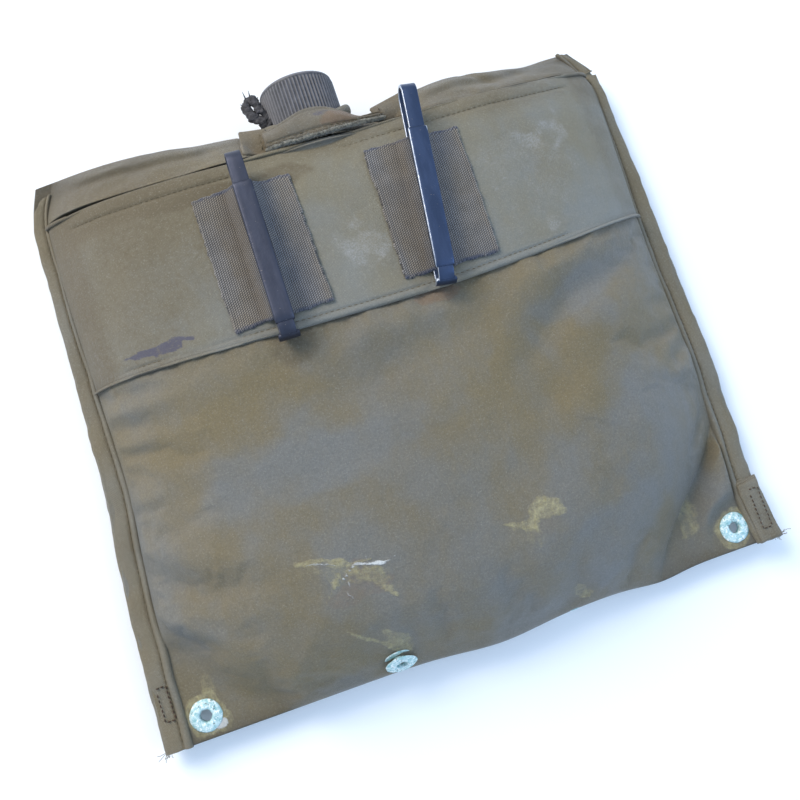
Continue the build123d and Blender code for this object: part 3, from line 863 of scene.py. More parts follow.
def band(x, y):
    """Height of the band of cloth between the top edge and the mouth."""
    z = pouch(x, y)
    full = smooth((z - FLAT) / 16)
    folds = (
        1.1 * noise(x, y * 2.2, 21, 51) + 0.8 * noise(x * 0.8, y * 2.6, 10, 52) + 0.3 * rough(x, y, 5, 53)
    )
    folds = folds + fold(x, y, [(-112, 236), (-85, 233), (-60, 230), (-42, 229)], 2.0, 1.2, 0.8, (0.2, 0.2))
    folds = folds + fold(x, y, [(40, 226), (62, 229), (84, 229), (104, 233)], 2.2, 1.3, 0.8, (0.2, 0.2))
    folds = folds + fold(x, y, [(66, 240), (72, 232), (82, 226)], 2.4, 1.2, 0.6, (0.2, 0.4))
    under = smooth((x + 36) / 6) * smooth((33 - x) / 6)
    return z + full * folds + 0.8 * full - 3.4 * under


def band_rows():
    """From the top fold down the band to its hem, then into the mouth."""
    rows = []
    for f in np.linspace(0, 1, 64)[1:] ** 1.7:
        x = spread(columns, COVER - 16 * f)
        top, low = top_edge(x), mouth(x) + MOUTH_GAP / 2
        y = top + (low - top) * f
        rows.append(np.stack([x, y, band(x, y)], 1))
    for depth, inset in ((0.5, 0.1), (1.4, 0.35), (3.0, 0.9), (5.0, 1.2), (7.0, 1.4)):
        y = mouth(spread(columns, COVER - 16)) + MOUTH_GAP / 2 + inset * 0.6
        x = spread(columns, y)
        rows.append(np.stack([x, y, np.maximum(band(x, y + 1.5) - depth, FLAT)], 1))
    return rows


def open_neck(points):
    """Spread the cloth round the neck's hole; returns the points and which of them to keep."""
    x, y, z = points[..., 0] - NECK_X, points[..., 1], points[..., 2] - NECK_Z
    away = np.maximum(np.hypot(x, z), 1e-6)
    near = smooth((y - 214) / 6)
    wide = np.where(away < 30, NECK_HOLE + (away - 12) * (30 - NECK_HOLE) / 18, away)
    wide = np.where(away < 12, NECK_HOLE, wide)
    scale = 1 + near * (wide / away - 1)
    moved = points.copy()
    moved[..., 0] = NECK_X + x * scale
    moved[..., 2] = np.where(points[..., 2] < 6, points[..., 2], NECK_Z + z * scale)
    return moved, ~((near > 0.5) & (away < 12.5) & (points[..., 2] >= 6))


cover_grid = np.array(back_rows() + front_rows() + band_rows())
cover_grid, cover_keep = open_neck(cover_grid)
gx, gy, gz = np.moveaxis(cover_grid, 2, 0)
on_back = np.zeros(gx.shape, bool)
on_back[: len(back_rows())] = True
for sign in (-1, 1):
    cover_keep &= np.hypot(gx - sign * EYELET_X, gy - EYELET_Y) > 3.4
# the mouth's turned-in hems stop at the side seams
for hem_rows in (slice(0, 5), slice(-5, None)):
    cover_keep[hem_rows, np.abs(columns) > 1.0] = False


def settle(grid, held):
    """Blow the cloth up a little against its seams; returns how far each point moves."""
    rows, cols = grid.shape[:2]
    mesh = bpy.data.meshes.new("settling")
    mesh.from_pydata(world(grid).tolist(), [], quads(rows, cols).tolist())
    made = bpy.data.objects.new("settling", mesh)
    bpy.context.scene.collection.objects.link(made)
    group = made.vertex_groups.new(name="held")
    for k, weight in enumerate(held.ravel()):
        if weight > 0:
            group.add([k], float(weight), "REPLACE")
    modifier = made.modifiers.new("settling", "CLOTH")
    setup = modifier.settings
    setup.quality = 5
    setup.mass = 0.25
    setup.tension_stiffness = setup.compression_stiffness = 18
    setup.shear_stiffness = 8
    setup.bending_stiffness = 0.25
    setup.air_damping = 2
    setup.vertex_group_mass = "held"
    setup.pin_stiffness = 2
    setup.shrink_min = setup.shrink_max = -EXCESS
    setup.use_pressure = True
    setup.uniform_pressure_force = PRESSURE
    setup.effector_weights.gravity = 0
    modifier.collision_settings.use_collision = False
    modifier.point_cache.frame_start, modifier.point_cache.frame_end = 1, FRAMES
    scene = bpy.context.scene
    for number in range(1, FRAMES + 1):
        scene.frame_set(number)
    there = np.empty(rows * cols * 3, np.float32)
    shape = made.evaluated_get(bpy.context.evaluated_depsgraph_get()).data
    shape.vertices.foreach_get("co", there)
    scene.frame_set(1)
    bpy.data.objects.remove(made)
    bpy.data.meshes.remove(mesh)
    return there.reshape(rows, cols, 3) * MM - world(grid).reshape(rows, cols, 3) * MM


def stretch_onto(coarse, rows, cols):
    """Interpolate a coarse grid's values onto more rows and columns."""
    for axis, count in ((0, rows), (1, cols)):
        at = np.linspace(0, coarse.shape[axis] - 1, count)
        low = np.minimum(at.astype(int), coarse.shape[axis] - 2)
        part = (at - low).reshape([-1 if k == axis else 1 for k in range(coarse.ndim)])
        coarse = np.take(coarse, low, axis) * (1 - part) + np.take(coarse, low + 1, axis) * part
    return coarse


first, last = 5, len(back_rows())
part = cover_grid[first:last:2, 5:-5:2]
x, y = part[..., 0], part[..., 1]
near = np.minimum(smooth((x - left_seam(y)) / 4), smooth((right_seam(y) - x) / 4))
near = near * smooth((y - bottom_edge(x)) / 5) * smooth((panel_low_edge(x) + 4 - y) / 6)
near = near * smooth((bag(x, y) - FLAT - 2) / 6)
moved = settle(part, (near < 0.08).astype(float))
moved = np.clip(moved, LEAST, MOST) * near[..., None]
moved = stretch_onto(moved, last - first, cover_grid.shape[1] - 10)
cover_grid[first:last, 5:-5] += moved
print("settled by up to", np.abs(moved).max(axis=(0, 1)).round(2).tolist())


def bluish(x, y):
    """Painted sheen and shade: where the cloth's face is tinted bluish grey like a reflection of the sky, and
    where it is left olive, as if lit.
    """
    value = 0.50 + 0.22 * noise(x * 0.75 + y * 0.35, y - x * 0.3, 34, 61) + 0.16 * rough(x, y, 15, 62)
    sheen_patches = [
        ((-42, 92), (50, 13), 63, 6), ((96, 60), (22, 46), 64, 15), ((84, 129), (36, 7), 65, 16),
        ((56, 22), (34, 14), 66, 25)
    ]
    dull = [
        ((-74, 118), (44, 12), 67, 8), ((44, 96), (12, 26), 68, 15), ((-76, 24), (40, 16), 69, -8),
        ((74, 96), (20, 16), 71, 24)
    ]
    # painted sheen patches add bluish grey; the dull patches take it away, leaving painted lit olive
    for sign, places in ((0.34, sheen_patches), (-0.30, dull)):
        for middle, radii, seed, turn in places:
            value = value + sign * blob(x, y, middle, radii, seed, 0.5, turn, 14)
    return value


def soiled(x, y):
    """Where the cloth is darker and browner: dirt patches, darker towards the bottom edge and on the band
    above the mouth, and painted shade along the hanger panel's lower edge.
    """
    value = 0.16 + 0.25 * rough(x, y, 40, 81) + 0.35 * smooth(1 - (y - bottom_edge(x)) / 10)
    value = value + 0.45 * blob(x, y, (-41, 137), (9, 7), 82) + 0.25 * blob(x, y, (23, 141), (8, 5), 83)
    # painted shade along the hanger panel's lower edge, where its piping overhangs the cloth
    value = value + 0.2 * smooth(1 - abs(y - panel_low_edge(x)) / 8)
    value = value + 0.55 * smooth((y - mouth(x)) / 3) * (1.1 - 0.5 * smooth((x + 110) / 60))
    return np.clip(value, 0, 1)


def streak(x, y, points, width, seed):
    """A ragged line of wear."""
    away, place = along(x, y, points)
    width = width * (0.5 + 0.6 * smooth(place * 3) * smooth((1 - place) * 3))
    return smooth(1.25 - abs(away) / width + 0.7 * rough(x, y, 3.5, seed))


def crusted(x, y):
    """Pale veils of wear on the pouch, and round the eyelets."""
    value = (
        0.75 * blob(x, y, (-52, 49), (15, 6), 91, 0.6, -22, 6)
        + 0.6 * blob(x, y, (-38, 42), (8, 9), 92, 0.8, 20, 5)
    )
    value = value + streak(x, y, [(-66, 57), (-56, 55), (-46, 50), (-38, 50)], 1.6, 85)
    value = (
        value + streak(x, y, [(-52, 48), (-56, 43), (-60, 39)], 1.3, 86)
        + streak(x, y, [(-42, 48), (-38, 41), (-33, 33)], 1.8, 87)
    )
    value = (
        value + 0.95 * blob(x, y, (35, 46), (9, 6.5), 93, 0.6, -10, 5)
        + 0.75 * blob(x, y, (22, 43), (9, 3.5), 94, 0.8, -8, 5)
    )
    value = (
        value + 0.7 * blob(x, y, (27, 37), (5, 6), 84, 0.8, 20, 4)
        + streak(x, y, [(15, 46), (24, 43), (34, 48)], 1.4, 88)
    )
    value = (
        value + 0.9 * blob(x, y, (-37, 15), (8, 4.5), 95, 0.6, -38, 5)
        + streak(x, y, [(-56, 26), (-50, 21), (-44, 17), (-36, 8)], 1.2, 89)
    )
    value = value + 0.85 * blob(x, y, (42.5, 8), (6, 3.6), 97, 0.5, -25, 4)
    value = (
        value + 0.85 * blob(x, y, (101, 20), (5, 11), 98, 0.35, -18, 6)
        + 0.6 * blob(x, y, (112, 4.5), (8, 3.0), 99)
    )
    for sign in (-1, 1):
        ring = np.hypot(x - sign * EYELET_X, y - EYELET_Y) / FLANGE
        value = (
            value + np.clip(1.5 - abs(ring - 1.05) * 3.2 + 0.9 * rough(x, y, 4, 100), 0, 1) * (ring < 1.9)
        )
    value = (
        value + 0.8 * blob(x, y, (-116, 21), (3, 6.5), 101)
        + 0.8 * blob(x, y, (-114, 6.5), (4.5, 4.5), 102, 0.8)
    )
    return np.clip(value, 0, 1)


def whitened(x, y):
    """The palest flakes, in the middle of the worst patches."""
    value = streak(x, y, [(-51, 46), (-45, 50), (-40, 48.5), (-34, 47), (-29, 48)], 1.1, 111)
    value = value + 0.8 * streak(x, y, [(-66, 56), (-58, 54.5), (-50, 51)], 0.8, 112)
    value = (
        value + 0.8 * streak(x, y, [(-49, 45), (-51, 40), (-48, 36)], 0.9, 113)
        + 0.7 * streak(x, y, [(-40, 52), (-41, 49)], 1.0, 114)
    )
    value = (
        value + 0.5 * blob(x, y, (35, 47), (7, 4), 115, 0.9, 0, 3)
        + 0.7 * blob(x, y, (-115.5, 5.5), (3, 2.5), 116, 0.9)
    )
    for sign in (-1, 1):
        ring = np.hypot(x - sign * EYELET_X, y - EYELET_Y) / FLANGE
        value = (
            value
            + 0.6 * np.clip(1.0 - abs(ring - 1.12) * 4.0 + 0.9 * rough(x, y, 3, 117), 0, 1) * (ring < 1.7)
        )
    return np.clip(value, 0, 1)


def marks(x, y, on=1.0):
    """Everything that the cloth's material reads from its vertices."""
    zero = np.zeros_like(x)
    rusty = (
        blob(x, y, (-45, 43), (15, 7), 121, 0.8) * 0.7 + blob(x, y, (20, 141), (10, 4), 122)
        + blob(x, y, (32, 41), (9, 6), 123) * 0.5
    )
    return {
        # painted bluish sheen and shade on the back, a flat middling amount elsewhere
        "blue": bluish(x, y) * on + 0.4 * (1 - on),
        # dirt, with painted shade along the hanger panel's lower edge
        "soil": soiled(x, y),
        "crust": crusted(x, y) * on,
        "white": whitened(x, y) * on,
        "rust": np.clip(rusty, 0, 1) * on,
        "chalk": zero,
        "ink": zero,
    }


cover_marks = marks(gx, gy, on_back.astype(float))
# the worn patches stand a little proud of the cloth
lump = cover_marks["crust"] * (0.08 + 0.16 * rough(gx, gy, 3.0, 131)) + 0.12 * cover_marks["white"]
cover_grid[..., 2] += np.where(on_back, lump, 0) * smooth((gz - FLAT) / 2 + 0.5)
cover_cloth = cloth(
    "cover_cloth", cover_grid, CLOTH, cover_look, "cover_cloth", cover_marks, cover_keep,
    stands_for=("front_panel", "back_panel", "top_band"),
)

# ======== where the clips stand ========
strip_low, strip_high = (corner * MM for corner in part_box("clip_left"))
STRIP = 1.5
STRIP_WIDE = 6.35
BACK_Z = strip_low.z + STRIP / 2
FRONT_Z = strip_high.z - STRIP / 2
LOOP = (FRONT_Z - BACK_Z) / 2
joints = {joint["name"]: joint for joint in frame["joints"]}


def clip_axes(side):
    """Along a clip, across it, and the place of its foot, from its joint and its CAD node."""
    axis = joints[f"clip_{side}_shift"]["axis"]
    forward = np.array([axis[0], axis[1]]) / math.hypot(axis[0], axis[1])
    across = np.array([forward[1], -forward[0]])
    flat = np.array([(v.co.x * MM, v.co.y * MM - EDGE_Y) for v in nodes[f"clip_{side}"].data.vertices])
    foot = (flat @ forward).min()
    top = (flat @ forward).max()
    middle = ((flat @ across).min() + (flat @ across).max()) / 2
    return forward, across, forward * foot + across * middle, top - foot


def under_clips(x, y, z):
    """Hold a height down to just below the clips' back legs, along the lines that they move on."""
    for side in ("left", "right"):
        _, across, foot, _ = clip_axes(side)
        off = (x - foot[0]) * across[0] + (y - foot[1]) * across[1]
        z = z - np.maximum(z - (strip_low.z - 0.35), 0) * smooth((9 - abs(off)) / 4)
    return z


# ======== the hanger panel, with the board under it ========
panel_x = np.sin(np.linspace(-1, 1, 201) * math.radians(78)) / math.sin(math.radians(78))


def panel_span(y):
    """x of the panel's columns at height y, just inside the side seams."""
    low, high = left_seam(y) + 0.4, right_seam(y) - 0.4
    return (low + high) / 2 + panel_x * (high - low) / 2


def panel_rows():
    """From the turned-in top hem, down the panel to its lower piping and under."""
    rows = []
    nominal = panel_span(HEM)
    top = mouth(nominal) - MOUTH_GAP / 2 + 0.5
    for depth, inset in ((4.0, 0.9), (2.4, 0.5), (1.1, 0.15), (0.35, 0.0)):
        y = top - inset
        rows.append(np.stack([panel_span(y), y, hanger(panel_span(y), y - 1) - depth], 1))
    for f in np.r_[np.linspace(0, 0.14, 26), np.linspace(0.14, 0.86, 70)[1:], np.linspace(0.86, 1, 26)[1:]]:
        x = panel_span(COVER * 0.9 - f * 75)
        low = panel_low_edge(x)
        y = top + (low - top) * f
        x = panel_span(y)
        z = hanger(x, y)
        seam_at = np.where(y > 205, mouth(x) - 6.8, 0)
        z = (
            z - 0.55 * np.exp(-(((y - seam_at) / 0.9) ** 2))
            + 0.35 * np.exp(-(((y - seam_at - 4.5) / 2.6) ** 2))
        )
        rise = y - low
        welt = np.exp(-(((rise - 1.2) / 1.1) ** 4)) * (0.55 + 0.2 * noise(x, rise * 0.2, 7, 141))
        z = z + welt - 0.5 * np.exp(-(((rise - 2.9) / 0.55) ** 2))
        rows.append(np.stack([x, y, z], 1))
    last = rows[-1]
    for depth, inset in ((0.5, -0.25), (1.3, -0.3), (2.3, -0.1), (3.0, 0.4)):
        rows.append(last + np.array([0, inset, -depth]))
    return rows


panel_grid = np.array(panel_rows())
px, py, pz = np.moveaxis(panel_grid, 2, 0)
panel_grid[..., 2] = under_clips(px, py, np.maximum(pz, bag(px, py) + 1.35))
chalk = (
    0.28 * blob(px, py, (-6, 182), (13, 26), 151, 0.8, 8, 9)
    + 0.25 * blob(px, py, (-5, 170), (10, 12), 152, 0.9, 0, 6)
)
chalk = (
    chalk + 0.36 * blob(px, py, (78, 182), (26, 22), 153, 0.8, 10, 9)
    + 0.30 * blob(px, py, (-68, 196), (6, 14), 154, 0.8, 0, 8)
)
chalk = (
    chalk + 0.22 * blob(px, py, (66, 158), (34, 5), 155, 0.7)
    + 0.2 * blob(px, py, (96, 200), (18, 12), 156, 0.8) + 0.26
)
ink = (
    blob(px, py, (-88, 154.4), (11, 2.7), 161, 0.7, -3, 4)
    + blob(px, py, (-100, 155.4), (10, 1.5), 162, 0.7, -8, 4)
)
ink = (
    ink + 0.55 * blob(px, py, (-78, 155), (4, 2), 163, 0.9)
    + 0.6 * blob(px, py, (-41.5, 150.5), (7, 2.6), 164, 0.8)
)
# painted sheen: the hanger cloth's bluish grey, strongest in a line along the piping at its lower edge
panel_blue = 0.50 + 0.35 * noise(px, py, 36, 165) + 0.5 * smooth((noise(px, py, 13, 166)) * 1.2) * 0.4
panel_blue = (
    panel_blue + 0.5 * np.exp(-(((py - panel_low_edge(px) - 2) / 2.4) ** 2)) - 0.25 * smooth((py - 205) / 8)
)
panel_soil = (
    0.22 + 0.25 * rough(px, py, 30, 167) + 0.35 * smooth((py - 206) / 10)
    + 0.45 * blob(px, py, (-24, 207), (14, 5), 168)
)
panel_soil = (
    panel_soil + 0.35 * smooth((-20 - px) / 60) + 0.4 * blob(px, py, (-60, 209), (26, 4), 169)
    + 0.3 * smooth((abs(px) - 108) / 8)
)
panel_marks = marks(px, py, 0.0)
panel_marks.update(
    chalk=np.clip(chalk, 0, 1), ink=np.clip(ink, 0, 1), blue=panel_blue, soil=np.clip(panel_soil, 0, 1)
)
hanger_cloth = cloth(
    "hanger_cloth", panel_grid, CLOTH, panel_look, "hanger_cloth", panel_marks, stands_for=("hanger_panel",)
)

board_grid = np.array([
    np.stack([x, y + 0 * x, pouch(x, y + 0 * x) + 1.1], 1)
    for y, x in ((y, np.linspace(-74, 74, 75)) for y in np.linspace(HEM - 12, 156, 30))
])
board_look = pile_look("board_fibre", (0.22, 0.18, 0.12), (0.30, 0.26, 0.18))
cloth("hanger_board", board_grid, 0.8, board_look, "board", stands_for=("stiffener_board",))

# ======== binding tapes down both sides ========
TAPE = [  # from its edge on the front, round the cover's edge, to its edge against the pouch: (share, height)
    (0.98, -2.0), (0.9, -2.15), (0.7, -2.2), (0.45, -2.2), (0.25, -2.2), (0.1, -2.0), (0.03, -1.3),
    (0.0, 0.0), (0.01, 0.9), (0.05, 1.7), (0.13, 2.15), (0.28, 2.2), (0.45, 2.2), (0.58, 2.15),
    (0.66, 1.85), (0.69, 1.75), (0.72, 1.9), (0.79, 2.9), (0.88, 3.35), (0.96, 3.0), (1.01, 2.1),
    (1.02, 1.5),
]
TAPE_THICK = 0.45


def tape(side):
    """A tape folded over a side seam; its inner edge is a raised ridge against the pouch."""
    name = "left" if side < 0 else "right"
    y = np.linspace(-1.6, COVER + 0.6, 330)[:: int(side)]
    outer, inner = (left_edge(y), left_seam(y)) if side < 0 else (right_edge(y), right_seam(y))
    inner = inner - side * 0.9
    seed = 171 if side < 0 else 181
    outer = outer + 0.35 * noise(y, 0, 9, seed) + 0.2 * noise(y, 0, 3.5, seed + 1)
    inner = inner + 0.35 * noise(y, 3, 11, seed + 2)
    share, rise = np.array(TAPE).T
    x = outer[:, None] + (inner - outer)[:, None] * share
    down = y[:, None] + 0 * x
    ripple = 0.35 * noise(down, x * 0.5, 8, seed + 3) + 0.25 * noise(down, x, 19, seed + 4)
    droop = (1 - share) ** 2 * (0.8 * noise(y, 9, 30, seed + 5) - 0.9)[:, None]
    ridge = hump(share, 1, 0.88, 0.1) * (0.5 * noise(y, 5, 14, seed + 6) + 0.15)[:, None]
    climb = 1.6 * smooth((y - 224) / 16)
    z = SEAM + rise + ripple * (rise > 0.5) + droop + ridge * (rise > 0) + climb[:, None]
    cut_end = 0.5 + 0.35 * noise(x, 0 * x, 2.2, seed + 7)
    down = np.where(down < 4, np.maximum(down, cut_end), down)
    down = down - smooth((y - 233) / 8)[:, None] * (0.9 + 2.8 * (1 - share) ** 3)
    kept = marks(x, down, 0.0)
    # painted sheen: bluish along the tape's raised ridge
    kept["blue"] = 0.30 + 0.35 * noise(x, down, 18, seed + 8) + hump(share, 0.35, 0.86, 0.1)
    # painted shade: darker in the groove of the stitch row
    kept["soil"] = np.clip(0.25 + 0.3 * rough(x, down, 14, seed + 9) + hump(share, 0.6, 0.69, 0.05), 0, 1)
    made = cloth(
        f"tape_{name}", np.stack([x, down, z], -1), TAPE_THICK, tape_look, "binding_tape", kept,
        stands_for=(f"binding_{name}",),
    )
    line_x = outer + (inner - outer) * 0.69
    top = (
        SEAM + 1.80 + 0.35 * noise(y, line_x * 0.5, 8, seed + 3) + 0.25 * noise(y, line_x, 19, seed + 4)
        + climb
    )
    line = np.stack([line_x, y, top], 1)[4:-4]
    stitches(f"tape_stitches_{name}", line, UP, sewing, "binding_tape", 1.9, 0.7, 0.17, seed)


for side in (-1, 1):
    tape(side)


TAB_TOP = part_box("binding_end_tab")[1].y * MM - EDGE_Y


def layered_tab():
    """The folded-over end of the right-hand tape, in three cut layers."""
    parts = []
    for layer, (grow, lift) in enumerate(((0.0, 0.0), (-0.5, 1.0), (-1.1, 2.0))):
        f, g = np.meshgrid(np.linspace(0, 1, 34), np.linspace(0, 1, 16), indexing="ij")
        low, high = 0.4 + 0.3 * layer, TAB_TOP - 0.8 * layer
        y = high + (low - high) * f
        inner = right_seam(y) - 0.4 - grow
        outer = right_edge(y) + 0.4 + grow * 0.7
        x = inner + (outer - inner) * g
        x = x + 0.25 * noise(y, x * 0.1, 3.0, 191 + layer)
        y = y + 0.3 * noise(x, y * 0.1, 2.5, 195 + layer) + (0.4 * (g - 0.5) if layer else 0)
        z = SEAM + 2.7 + lift + 0.4 * noise(x, y, 7, 199) - 0.5 * abs(g - 0.5) ** 2
        parts.append(np.stack([x, y, z], -1))
    return parts


for layer, tab_grid in enumerate(layered_tab()):
    tx, ty = tab_grid[..., 0], tab_grid[..., 1]
    kept = marks(tx, ty, 0.0)
    kept["soil"] = np.clip(0.35 + 0.4 * rough(tx, ty, 8, 203) + 0.3 * (tab_grid[..., 2] < 0), 0, 1)
    made = cloth(
        "end_tab" if layer == 2 else f"end_tab_layer_{layer}", tab_grid, 0.85, tape_look, "binding_tape",
        kept,
        stands_for=("binding_end_tab",) if layer == 2 else (),
    )


def box_stitch(name, middle, top, tall, height, thick):
    """A narrow box sewn through the end of a tape."""
    corners = [
        (middle - 2.1, top), (middle + 2.1, top), (middle + 2.4, top - tall), (middle - 1.8, top - tall)
    ]
    path = resample([(x, y, height + 0.1 * math.sin(x + y)) for x, y in [*corners, corners[0]]], 0.5)
    look = rubber_look(f"box_thread_{name}", (0.035, 0.018, 0.010), (0.10, 0.05, 0.03))
    stitches(f"box_stitch_{name}", path, UP, look, "binding_tape", 1.7, 0.35, thick, 211)


box_stitch("left", float(left_edge(20.0)) + 5.4, 27.0, 14.0, SEAM + 2.3, 0.30)
box_stitch("right", float(right_edge(15.0)) - 4.4, 24.0, 18.0, SEAM + 5.0, 0.24)

# ======== seams on the panel, the hem, the band and the collar ========
line_x = np.linspace(-116, 117, 420)
hem_line = mouth(line_x) - 6.5
stitches(
    "hem_stitches", np.stack([line_x, hem_line, hanger(line_x, hem_line) - 0.45], 1), UP, sewing,
    "hanger_cloth", 1.9, 0.6, 0.16, 221
)
welt_line = panel_low_edge(line_x) + 2.9
stitches(
    "piping_stitches", np.stack([line_x, welt_line, hanger(line_x, welt_line) - 0.5], 1), UP, sewing,
    "hanger_cloth", 1.9, 0.6, 0.16, 222
)


# ======== collar over the neck ========
def collar_top(x):
    """The tongue's free edge: highest over the neck, and lower on its right."""
    return TONGUE_TOP + hump(x, 4.5, NECK_X, 13) - 5.0 * smooth((x - 2) / 16)


def collar_low_edge(x):
    """The tongue's sewn edge, just above the mouth."""
    return HEM + 2.6 + 0.3 * noise(x, 0 * x, 14, 239)


def collar_height(x, f):
    """Over the collar from its closing strip, f 0, to its free top edge, f 1."""
    low = np.maximum(pouch(x, collar_low_edge(x)) + 2.2, 43.5)
    crown = 43.0 * np.exp(-(((x - NECK_X) / 27) ** 2)) + 37.5 * (1 - np.exp(-(((x - NECK_X) / 27) ** 2)))
    return low + (crown - low) * f**1.4 + 1.3 * np.sin(math.pi * np.clip(f, 0, 1))


def collar_rows():
    """Down the tongue from its curled free edge to its sewn edge."""
    rows = []
    x = np.linspace(-26, 23.5, 96)
    for f in np.linspace(1, 0, 40):
        y = collar_low_edge(x) + (collar_top(x) - collar_low_edge(x)) * f
        z = collar_height(x, f) + 0.55 * noise(x, y * 1.6, 9, 231) + 0.3 * rough(x, y, 5, 232)
        z = z - 0.45 * np.exp(-(((f - 0.17) / 0.045) ** 2)) - 0.35 * np.exp(-(((f - 0.90) / 0.04) ** 2))
        rows.append(np.stack([x, y, z], 1))
    first = rows[0]
    curl = [first + np.array([0, 0.55 - 0.4 * k, -0.9 * (k + 1)]) for k in range(4)]
    return curl[::-1] + rows


collar_grid = np.array(collar_rows())
cx, cy, _ = np.moveaxis(collar_grid, 2, 0)
collar_marks = marks(cx, cy, 0.0)
# painted sheen, varying at random
collar_marks["blue"] = 0.25 + 0.4 * noise(cx, cy, 11, 233)
collar_marks["soil"] = np.clip(0.35 + 0.4 * rough(cx, cy, 9, 234), 0, 1)
collar_marks["rust"] = np.clip(
    blob(cx, cy, (6, 227), (9, 4), 235, 0.8) + 0.5 * blob(cx, cy, (18, 224), (7, 3), 236, 0.8), 0, 1
)
collar_marks["ink"] = 0.8 * blob(cx, cy, (1, 230), (5, 1.6), 237, 0.9)
collar_look = fabric(
    "collar_cloth_look", (0.20, 0.150, 0.085), (0.19, 0.178, 0.155), crusty=True, chalky=True
)
collar_cloth = cloth(
    "collar_cloth", collar_grid, 1.6, collar_look, "cover_cloth", collar_marks,
    stands_for=("collar_tongue",)
)
run = np.linspace(-25, 22.5, 130)
row_f = 0.17
row_y = collar_low_edge(run) + (collar_top(run) - collar_low_edge(run)) * row_f
stitches(
    "collar_stitches", np.stack([run, row_y, collar_height(run, row_f) - 0.3], 1), UP, sewing,
    "cover_cloth", 1.9, 0.8, 0.22, 238
)


def closing_strip():
    """The fuzzy edge of the hook and loop tapes that closes the collar."""
    x = np.linspace(-27.2, 25, 130)
    y = collar_low_edge(x) - 1.1
    z = 45.2 - 1.8 * (x / 26) ** 2 + 0.3 * noise(x, 0, 4, 241)
    angle = np.linspace(0, 2 * math.pi, 13)[:-1]
    ring = np.stack([np.cos(angle) * 0.9, np.sin(angle) * 1.25], 1)
    size = (
        1 + 0.22 * noise(x[:, None], angle[None] * 2, 1.6, 242)
        + 0.12 * noise(x[:, None], angle[None], 0.7, 243)
    )
    size = size * np.interp(x, [-27.2, -26, 23.5, 25], [0.5, 1, 1, 0.5])[:, None]
    path = np.stack([x, y, z], 1)
    body = tube(path, ring[None] * size[..., None], up=(0, 0, 1))
    chance = np.random.RandomState(244)
    hairs = []
    for _ in range(420):
        k = chance.randint(2, len(x) - 2)
        a = chance.uniform(-0.4, math.pi + 0.4)
        base = path[k] + (chance.uniform(-0.3, 0.3), 0.8 * math.cos(a), 1.0 * math.sin(a))
        way = np.array([chance.uniform(-0.7, 0.7), math.cos(a) + chance.uniform(-0.4, 0.4), math.sin(a)])
        tip = base + way * chance.uniform(0.5, 1.3)
        middle = (base + tip) / 2 + chance.uniform(-0.25, 0.25, 3)
        line = np.array([base - way * 0.3, base, middle, tip])
        hair = np.array([(math.cos(t), math.sin(t)) for t in (0, 2.1, 4.2)])
        hairs.append(
            tube(line, hair[None] * np.array([0.10, 0.10, 0.08, 0.04])[:, None, None], up=(0.3, 0.2, 1))
        )
    points, faces = merge([body, *hairs])
    piece("closing_strip", points, faces, fuzz, "hook_and_loop", stands_for=("hook_tape", "loop_tape"))


closing_strip()


def collar_fold(name, corners, seed, stands_for):
    """A short doubled fold of the binding beside the collar; its corners go round from the top left."""
    f, g = np.meshgrid(np.linspace(0, 1, 26), np.linspace(0, 1, 22), indexing="ij")
    a, b, c, d = (np.array(p, float) for p in corners)
    top = a + (b - a) * g[..., None]
    low = d + (c - d) * g[..., None]
    flat = top + (low - top) * f[..., None]
    x, y = flat[..., 0], flat[..., 1]
    z = (
        np.maximum(band(x, y) + 1.2, 38.6 + 1.2 * g) + 0.9 * np.sin(math.pi * f)
        + 0.45 * noise(x, y * 1.5, 7, seed)
    )
    grid = np.stack([x, y, z], -1)
    grid = np.concatenate(
        [(grid[:1] + np.array([0, 0.5, -1.0])), (grid[:1] + np.array([0, 0.3, -0.4])), grid]
    )
    kept = marks(grid[..., 0], grid[..., 1], 0.0)
    # painted sheen, varying at random
    kept["blue"] = 0.18 + 0.3 * noise(grid[..., 0], grid[..., 1], 8, seed + 1)
    kept["soil"] = np.clip(0.3 + 0.3 * rough(grid[..., 0], grid[..., 1], 8, seed + 2), 0, 1)
    made = cloth(name, grid, 1.4, collar_look, "cover_cloth", kept, stands_for=stands_for)


collar_fold(
    "collar_fold_left", ((-34.8, 233.4), (-24.6, 231.4), (-26.2, 221.4), (-36, 222.6)), 251,
    ("collar_tab_left",)
)
collar_fold(
    "collar_fold_right", ((21.0, 228.2), (36, 231.4), (35, 221), (22.6, 221.6)), 256, ("collar_tab_right",)
)
for name, low, high in (("left", (-28.2, 222.8), (-27.2, 230.8)), ("right", (24.6, 223), (23.6, 228))):
    path = resample([(*low, 0), (*high, 0)], 0.4)
    path[:, 2] = np.maximum(band(path[:, 0], path[:, 1]) + 1.2, 39.2) + 1.0
    stitches(f"fold_stitches_{name}", path, UP, sewing, "cover_cloth", 1.8, 0.8, 0.22, 261)


